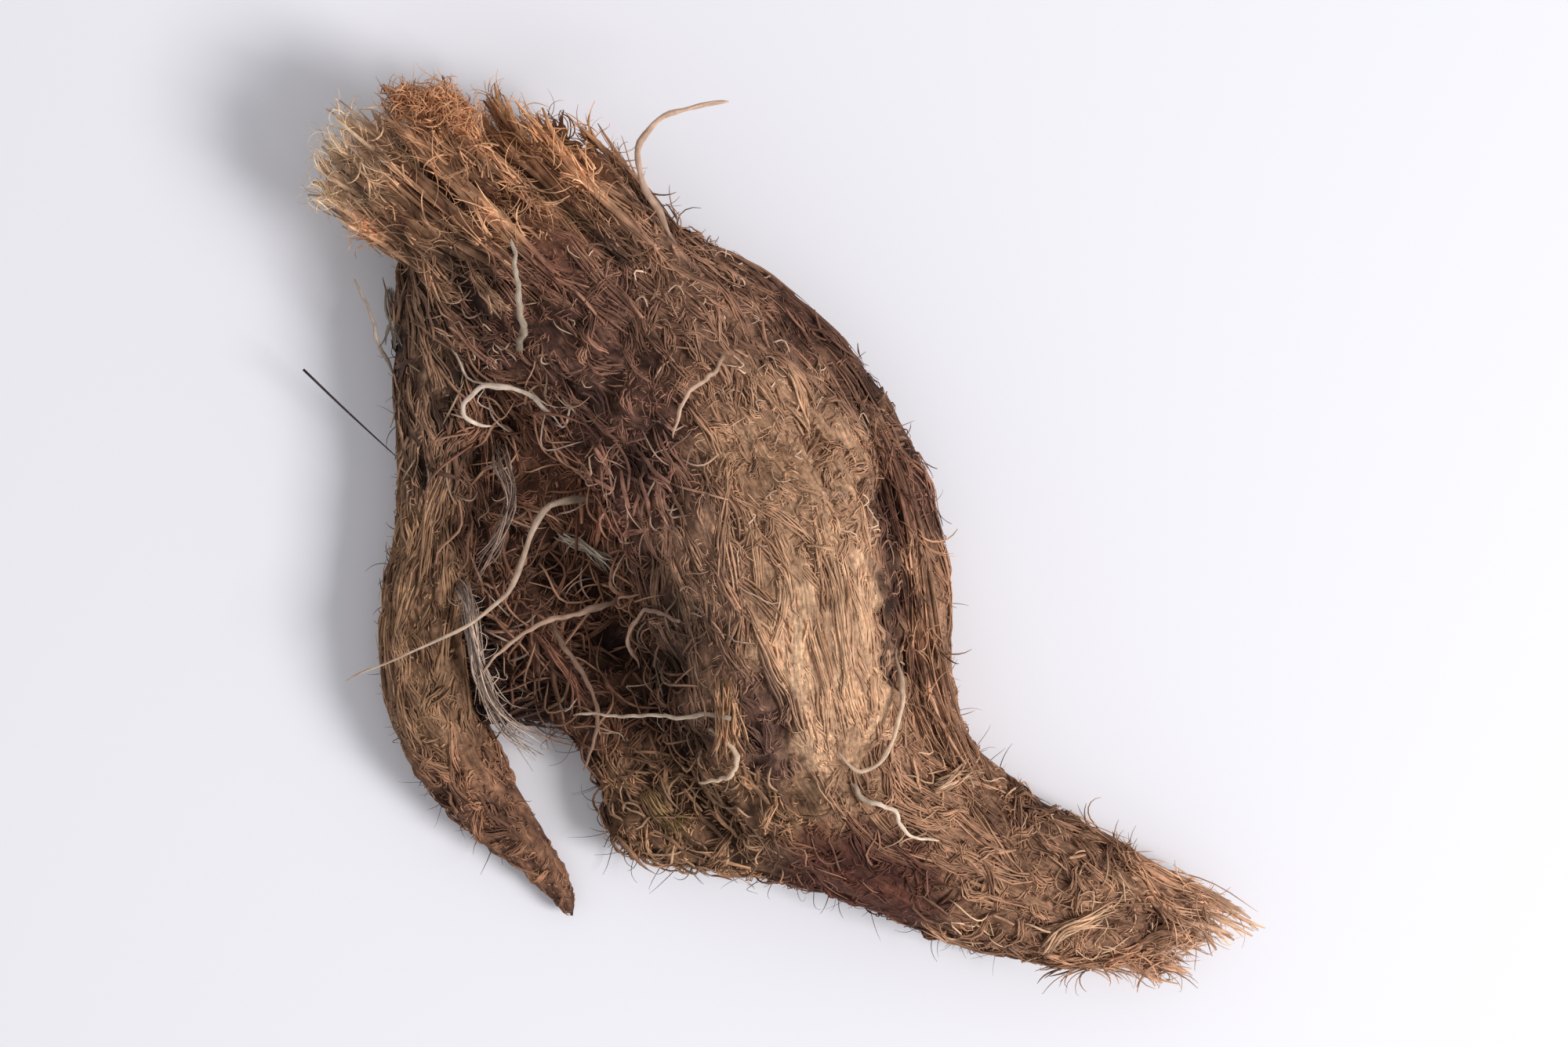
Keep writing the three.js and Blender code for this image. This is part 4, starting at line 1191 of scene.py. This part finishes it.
ROOTLETS = {
    "curled_rootlet": (206, 186, 170), "long_pale_rootlet": (178, 154, 134),
    "forked_rootlet": (168, 138, 118), "straight_rootlet": (190, 170, 152),
    "hooked_rootlet": (196, 170, 146), "looped_rootlet": (188, 160, 136),
    "zigzag_rootlet": (204, 182, 162), "small_curl_rootlet": (150, 120, 104),
    "body_rootlet": (178, 148, 126), "neck_rootlet": (158, 142, 126),
    "crown_loop_rootlet": (176, 146, 126), "valley_rootlet_1": (158, 134, 120),
    "valley_rootlet_2": (132, 104, 88), "branch_rootlet": (196, 172, 156), "edge_rootlet": (168, 152, 138),
}
FRAYED_ROOTLETS = {"branch_rootlet": 46, "valley_rootlet_1": 16}  # the strands that each falls apart into
FRAYED_SPREAD = 1.3
STOUT = {"neck_rootlet": 1.4}  # rootlets that are thicker than the others, against their own
SLENDER = 0.72  # the rootlets' own thickness, as a share of the CAD's
ROOTLET_SIDES, ROOTLET_UP = 8, [0.2, 0.1, 1.0]


def rootlet_line(node):
    """The middle line of a rootlet from the rhizome on, carried a little past both of its ends."""
    line = node_line(node, 12, np.zeros(3))
    gaps = np.linalg.norm(settle(line[[0, -1], :3])[0] - line[[0, -1], :3], axis=1)
    line = line if gaps[0] <= gaps[1] else line[::-1]
    back, on = unit(line[0, :3] - line[1, :3]), unit(line[-1, :3] - line[-2, :3])
    first = np.r_[line[0, :3] + back * 1.0, line[0, 3]]
    last = np.r_[line[-1, :3] + on * 0.6, line[-1, 3]]
    return smooth_line(np.vstack([first, line, last]), 34, 1)


def wire(rng, line, colour, thickness):
    """A whole rootlet: one tube with kinks and knots, darker towards its foot."""
    share = np.linspace(0, 1, len(line))
    across = share[:, None] * [1, 1, 1]
    kinks = np.stack([Waves(rng, 0.12, 0.6)(across) for _ in range(3)], 1)
    paths = inside_box(line[None, :, :3] + 0.09 * kinks[None])
    knots = 1 + 0.16 * Waves(rng, 0.05, 0.25)(across)
    blunt_tip = np.clip((1.02 - share) / 0.06, 0.25, 1)
    half = thickness * (line[:, 3] * knots * (1 - 0.3 * share))[None] * blunt_tip
    tone = linear(colour) * TONE_GAIN * (0.5 + 0.5 * np.clip(share * 2.5, 0, 1))[:, None]
    return paths, np.broadcast_to(ROOTLET_UP, paths.shape), half, half, tone[None], ROOTLET_SIDES


def add_frayed(strands, rng, line, colour, count):
    """A rootlet that has fallen apart into fine strands, with hairs round them."""
    frayed = plain_tone(np.array(colour) * 0.62, np.array(colour) * 1.1)
    line[:, 3] *= FRAYED_SPREAD
    strands.add(*bundle(
        rng, line, count, half_width=(0.03, 0.08), flat=0.8, spread=1.0, stations=15, sides=3,
        ragged=0.4, wave=0.2, tone=frayed, height=0.4))
    begin = resample(line, rng.uniform(0.05, 0.9, count))
    headings = along_strip(line) + scatter(rng, count, [0.9, 0.9, 0.3])
    strands.add(*hairs(
        rng, begin[:, :3], headings, (0.8, 2.6), 0.9, (0.02, 0.05), frayed, stations=9, droop=0.4))


for number, (node, colour) in enumerate(ROOTLETS.items()):
    rng = np.random.default_rng([SEED, 40, number])
    line = rootlet_line(node)
    # The whole form is made for a frayed rootlet too, because both take from one run of random draws.
    whole = wire(rng, line, colour, SLENDER * STOUT.get(node, 1))
    strands = Strands()
    if node in FRAYED_ROOTLETS:
        add_frayed(strands, rng, line, colour, FRAYED_ROOTLETS[node])
    else:
        strands.add(*whole)
    strands.piece(node + "_skin", root_skin, "root_skin", [node])

# ---- Crossing strands, flakes, laid strips, the fork's mat and stray hairs ----

WIDEST_GAP = 1.7  # how far over the surface a crossing strand may pass


def arcs(rng, names, count, length, height, half_width, dark, light, stations, wave):
    """Strands that leave the surface at one place and come back to it at another."""
    starts, normals = faces_in(names)
    chosen = rng.integers(0, len(starts), count)
    first, up = starts[chosen], normals[chosen]
    heading = unit(np.cross(up, rng.normal(size=(count, 3))))
    second, second_up = settle(first + heading * rng.uniform(*length, count)[:, None])
    share = np.linspace(0, 1, stations)[None]
    above = unit(between(up, second_up, share))
    across = unit(np.cross(above, heading[:, None]))
    phase, turns = rng.uniform(0, FULL_TURN, (count, 1)), rng.uniform(0.4, 1.5, (count, 1))
    sway = swing(turns, phase, share) * rng.uniform(0.3, 1, (count, 1)) * wave
    rise = np.sin(np.pi * share) * rng.uniform(*height, (count, 1)) - 0.1
    bow = rng.normal(size=(count, 1)) * 0.5 * np.sin(np.pi * share)
    paths = between(first, second, share) + across * (sway * 2 + bow)[..., None] + above * rise[..., None]
    paths = inside_box(paths)
    half = spindle(rng, half_width, count, share, 0.6)
    # The patches' painted shade darkens the crossing strands too.
    tones = plain_tone(dark, light)(rng, count, paths) * patch_and_painted_shade_gain(paths)[..., None]
    middles = paths[:, stations // 2]
    near = np.linalg.norm(settle(middles)[0] - middles, axis=1) < WIDEST_GAP
    return paths[near], above[near], half[near], half[near], tones[near]


# zones, count, length, height, half width, dark, light, stations, wave
CROSSINGS = [
    (["web"], 180, (2.0, 6.0), (0.3, 1.6), (0.05, 0.13), (96, 62, 49), (176, 134, 108), 10, 0.2),
    (["web"], 30, (2.0, 5.0), (0.5, 1.7), (0.05, 0.1), (140, 116, 102), (206, 184, 166), 10, 0.2),
    (["skirt"], 90, (1.5, 4), (0.3, 0.9), (0.05, 0.11), (96, 68, 52), (180, 144, 114), 8, 0.2),
    (["waist", "felt_edge"], 90, (1.5, 4), (0.3, 0.8), (0.04, 0.09), (96, 68, 56), (186, 154, 132), 8, 0.2),
    (["cleft"], 46, (0.9, 2.8), (0.1, 0.5), (0.035, 0.09), (84, 56, 48), (184, 142, 114), 8, 0.2),
    (["red_skin"], 46, (1.5, 4), (0.1, 0.5), (0.04, 0.09), (84, 54, 44), (156, 112, 90), 8, 0.3),
    (["branch_top"], 40, (1.5, 5), (0.2, 0.7), (0.05, 0.1), (100, 80, 66), (160, 134, 112), 8, 0.12),
    (["lower_end", "torn_tip"], 70, (1.5, 4), (0.3, 0.8), (0.04, 0.09),
     (130, 98, 74), (220, 182, 148), 9, 0.5),
    (["neck", "shoulder", "felt_top"], 150, (0.8, 2.2), (0.2, 0.5),
     (0.035, 0.075), (150, 116, 96), (220, 188, 162), 7, 0.15),
]
add_strands("crossing_strands", coat_fibre, "rhizome_coat", 60, arcs, CROSSINGS)

FLAKE_STATIONS = 7


def flakes(rng, names, count, length, half_width, low, high):
    """Short flat scraps of old sheath that lie over the skin."""
    starts, normals = faces_in(names)
    chosen = rng.integers(0, len(starts), count)
    stride = rng.uniform(*length, count) / (FLAKE_STATIONS - 1)
    wander = Waves(rng, 3, 8)
    tangle = np.full(count, 0.5)
    paths, ups = grow(rng, starts[chosen], normals[chosen], stride, FLAKE_STATIONS, tangle, wander)
    share = np.linspace(0, 1, FLAKE_STATIONS)
    height = rng.uniform(0.15, 0.4, (count, 1)) + rng.uniform(-0.2, 0.7, (count, 1)) * share**2
    paths = inside_box(paths + ups * height[..., None])
    half = rng.uniform(*half_width, (count, 1)) * (0.35 + 0.65 * np.sin(np.pi * (0.12 + 0.76 * share)))
    return paths, ups, half, half * 0.18, zone_tone(low, high)(rng, count, paths), 4


# zones, count, length, half width, and the range of their tone from the zone's dark to its light
FLAKES = [
    (["web", "skirt", "waist"], 120, (1.5, 4), (0.08, 0.28), 0.1, 1.0),
    (["neck", "crown_side", "flank_top"], 70, (0.8, 2.4), (0.06, 0.17), 0.2, 1.0),
    (["branch_top"], 40, (1.5, 4), (0.1, 0.26), 0.0, 0.8),
    (["lower_end"], 30, (1.2, 2.6), (0.08, 0.2), 0.3, 1.0),
    (["felt_edge", "shoulder"], 30, (1.0, 2.4), (0.06, 0.16), 0.2, 0.9),
]
add_strands("sheath_flakes", sheath_fibre, "leaf_sheath", 65, flakes, FLAKES)

# Single strips of old sheath that lie on the root: places along each, half width, how far it lies over the
# skin, its darker and its lighter colour.
LAID_STRIPS = [
    ([[-14.8, -0.5], [-12.2, -1.8], [-11.0, -2.6]], 0.28, 0.7, (150, 132, 114), (222, 206, 186)),
    ([[16.5, -27.5], [17.5, -26.0], [21.0, -25.0]], 0.4, 0.5, (168, 126, 94), (230, 190, 154)),
    ([[9.5, -16.9], [11.0, -16.3], [12.5, -16.0]], 0.4, 0.6, (160, 122, 94), (226, 188, 154)),
    ([[-19.7, 16.0], [-18.6, 14.6], [-17.5, 13.2]], 0.35, 0.9, (140, 104, 80), (214, 172, 138)),
    ([[-22.6, 18.4], [-22.4, 16.0], [-21.5, 14.0]], 0.6, 0.8, (128, 92, 68), (200, 154, 120)),
    ([[-16.0, -7.0], [-13.7, -9.5], [-12.9, -11.8]], 0.3, 0.9, (104, 66, 52), (164, 114, 92)),
    ([[-8.8, -17.0], [-7.8, -18.4], [-6.4, -19.8]], 0.6, 0.4, (112, 86, 56), (172, 140, 98)),
    ([[-3.6, -9.4], [-3.4, -12.4], [-3.2, -15.2]], 0.8, 0.4, (132, 94, 68), (208, 162, 124)),
    ([[-25.7, 15.4], [-25.3, 13.4], [-24.9, 11.4]], 0.3, 0.5, (128, 116, 104), (190, 180, 166)),
]


def laid_strip(rng, places, half_width, lift, dark, light):
    """A strip of strands that follows the upper side of the root."""
    line = smooth_line(np.c_[np.array(places, float), np.zeros((len(places), 2))], 12)
    line[:, 2] = [top_at(x, y, 2.0) + lift for x, y in line[:, :2]]
    line[:, 3] = half_width
    return bundle(
        rng, line, int(40 * half_width) + 6, half_width=(0.04, 0.12), flat=0.6, spread=1.0, stations=12,
        sides=3, ragged=0.2, wave=0.12, tone=plain_tone(dark, light), height=0.2)


add_strands("laid_strips", sheath_fibre, "leaf_sheath", 66, laid_strip, LAID_STRIPS)

# A mat of fine rootlets closes the head of the fork, between these lines of [x, y] and over the web; its
# near-black colour is painted shade.
FORK_BRANCH_SIDE = [[-20.9, -5.4], [-20.7, -9.0], [-20.0, -12.4]]
FORK_WEB_SIDE = [[-18.9, -5.0], [-17.2, -9.0], [-14.6, -12.6]]
OVER_WEB = 4.0  # how far the mat reaches over the web
MAT_STRANDS, MAT_STATIONS, MAT_TOP = 230, 9, 2.6


def fork_mat(rng, dark, light):
    """Strands that lie across the head of the fork, from the branch to the web."""
    shares, ends = rng.random(MAT_STRANDS), []
    for side, inward in ((FORK_BRANCH_SIDE, 0.0), (FORK_WEB_SIDE, OVER_WEB)):
        slipped = np.clip(shares + rng.normal(size=MAT_STRANDS) * 0.13, 0, 1)
        spots = resample(np.c_[np.array(side), np.zeros(len(side))], slipped)
        spots[:, 0] += rng.uniform(-0.6, inward, MAT_STRANDS)
        spots[:, 2] = [min(top_at(x, y, 1.0), MAT_TOP) for x, y, _ in spots]
        spots[:, 2] += rng.uniform(-0.5, 0.8, MAT_STRANDS)
        ends.append(spots)
    share = np.linspace(0, 1, MAT_STATIONS)[None]
    turns, phase = rng.uniform(0.3, 1.4, (3, MAT_STRANDS, 1)), rng.uniform(0, FULL_TURN, (3, MAT_STRANDS, 1))
    sway = np.moveaxis(swing(turns, phase, share), 0, -1)
    paths = inside_box(between(*ends, share) + 0.4 * sway * [0.6, 1.6, 0.5])
    half = spindle(rng, (0.05, 0.13), MAT_STRANDS, share, 0.5)
    tones = plain_tone(dark, light)(rng, MAT_STRANDS, paths) * np.ones_like(share)[..., None]
    return paths, np.broadcast_to(NEARLY_UP, paths.shape), half, half, tones


# Near-black colours: painted shade in the head of the fork.
add_strands("fork_mat", coat_fibre, "rhizome_coat", 67, fork_mat, [[(22, 14, 12), (80, 54, 44)]])


def edge_places(rng, line, count):
    """Places low on the root's side near a line of [x, y], and the heading outward there."""
    spots = resample(np.c_[np.array(line, float), np.zeros(len(line))], rng.random(count))
    spots[:, 2] = rng.uniform(0.4, 2.2, count)
    found, up = settle(spots)
    outward = unit(up * [1, 1, 0.2] + rng.normal(size=(count, 3)) * 0.35)
    return found - up * 0.3, outward


BOTTOM_EDGE = [[-12, -20], [-6, -22.5], [0, -23.5], [8, -26], [15, -28]]
LEFT_EDGE = [[-26.5, 12], [-26, 3], [-26.5, -6], [-24, -15], [-18, -22]]
RIGHT_EDGE = [[0, 15], [7, 8], [11, -2], [11, -10], [19, -19]]
FORK_EDGE = [[-19.5, -10], [-16, -12], [-13, -17], [-11, -19]]
# edge, count, length, curl, dark, light
EDGE_HAIRS = [
    (BOTTOM_EDGE, 90, (1.2, 3.6), 0.5, (34, 24, 22), (84, 62, 54)),
    (BOTTOM_EDGE, 40, (0.8, 2.2), 1.4, (60, 42, 36), (130, 100, 82)),
    (LEFT_EDGE, 50, (0.8, 2.6), 0.5, (34, 24, 22), (84, 62, 54)),
    (LEFT_EDGE, 40, (0.6, 1.8), 0.8, (120, 92, 74), (196, 164, 138)),
    (FORK_EDGE, 50, (1.5, 3.6), 0.6, (70, 54, 48), (150, 128, 116)),
    (RIGHT_EDGE, 60, (0.8, 2.6), 0.4, (60, 40, 34), (160, 124, 100)),
]
# One long dark hair stands off the outer side of the branch.
LONE_START, LONE_HEADING = np.array([[-31.1, 10.0, 3.3]]), np.array([[6.5, -6.2, -0.3]])
LONE_TONE = plain_tone((44, 34, 38), (60, 48, 52))
rng = np.random.default_rng([SEED, 70])
strands = Strands()
for line, count, length, curl, dark, light in EDGE_HAIRS:
    feet, outward = edge_places(rng, line, count)
    strands.add(*hairs(rng, feet, outward, length, curl, (0.02, 0.045), plain_tone(dark, light)))
strands.add(*hairs(
    rng, LONE_START, LONE_HEADING, (9.0, 9.0), 0.01, (0.11, 0.11), LONE_TONE, stations=12, droop=0.02))
strands.piece("stray_hairs", coat_fibre, "rhizome_coat")

# ---- Stage, light and camera ----

floor_mesh = bpy.data.meshes.new("floor")
floor_mesh.from_pydata([(-2, -2, 0), (2, -2, 0), (2, 2, 0), (-2, 2, 0)], [], [(0, 1, 2, 3)])
floor = placed("floor", floor_mesh)
n = Nodes("pale_floor")
n.put((0.9, 0.89, 0.94, 1), n.shader.inputs["Base Color"])
n.put(0.9, n.shader.inputs["Roughness"])
n.put(0.1, n.shader.inputs["Specular IOR Level"])
floor_mesh.materials.append(n.material)

world = bpy.data.worlds.new("studio")
bpy.context.scene.world = world
world.use_nodes = True
background = world.node_tree.nodes["Background"]
background.inputs["Color"].default_value = (0.97, 0.98, 1.0, 1)
background.inputs["Strength"].default_value = 0.5

KEY_DISTANCE, KEY_FROM = 0.62, Vector((0.72, -0.28, 0.64))
key = bpy.data.lights.new("key", "AREA")
key.energy = 3.2
key.size = 0.22
key_lamp = placed("key", key)
key_lamp.location = KEY_FROM.normalized() * KEY_DISTANCE
key_lamp.rotation_mode = "QUATERNION"
key_lamp.rotation_quaternion = (-key_lamp.location).to_track_quat("-Z", "Y")

FRAME_WIDTH = 0.100  # what the picture takes in across the table, in metres
camera_data = bpy.data.cameras.new("camera")
camera_data.lens = 100
camera_data.clip_start = 0.01
camera_data.clip_end = 20
camera = placed("camera", camera_data)
middle = (cad_low + cad_high) / 2
height = FRAME_WIDTH * camera_data.lens / camera_data.sensor_width
camera.location = (middle.x, middle.y, middle.z + height)
bpy.context.scene.camera = camera
bpy.context.scene.view_settings.view_transform = "Standard"
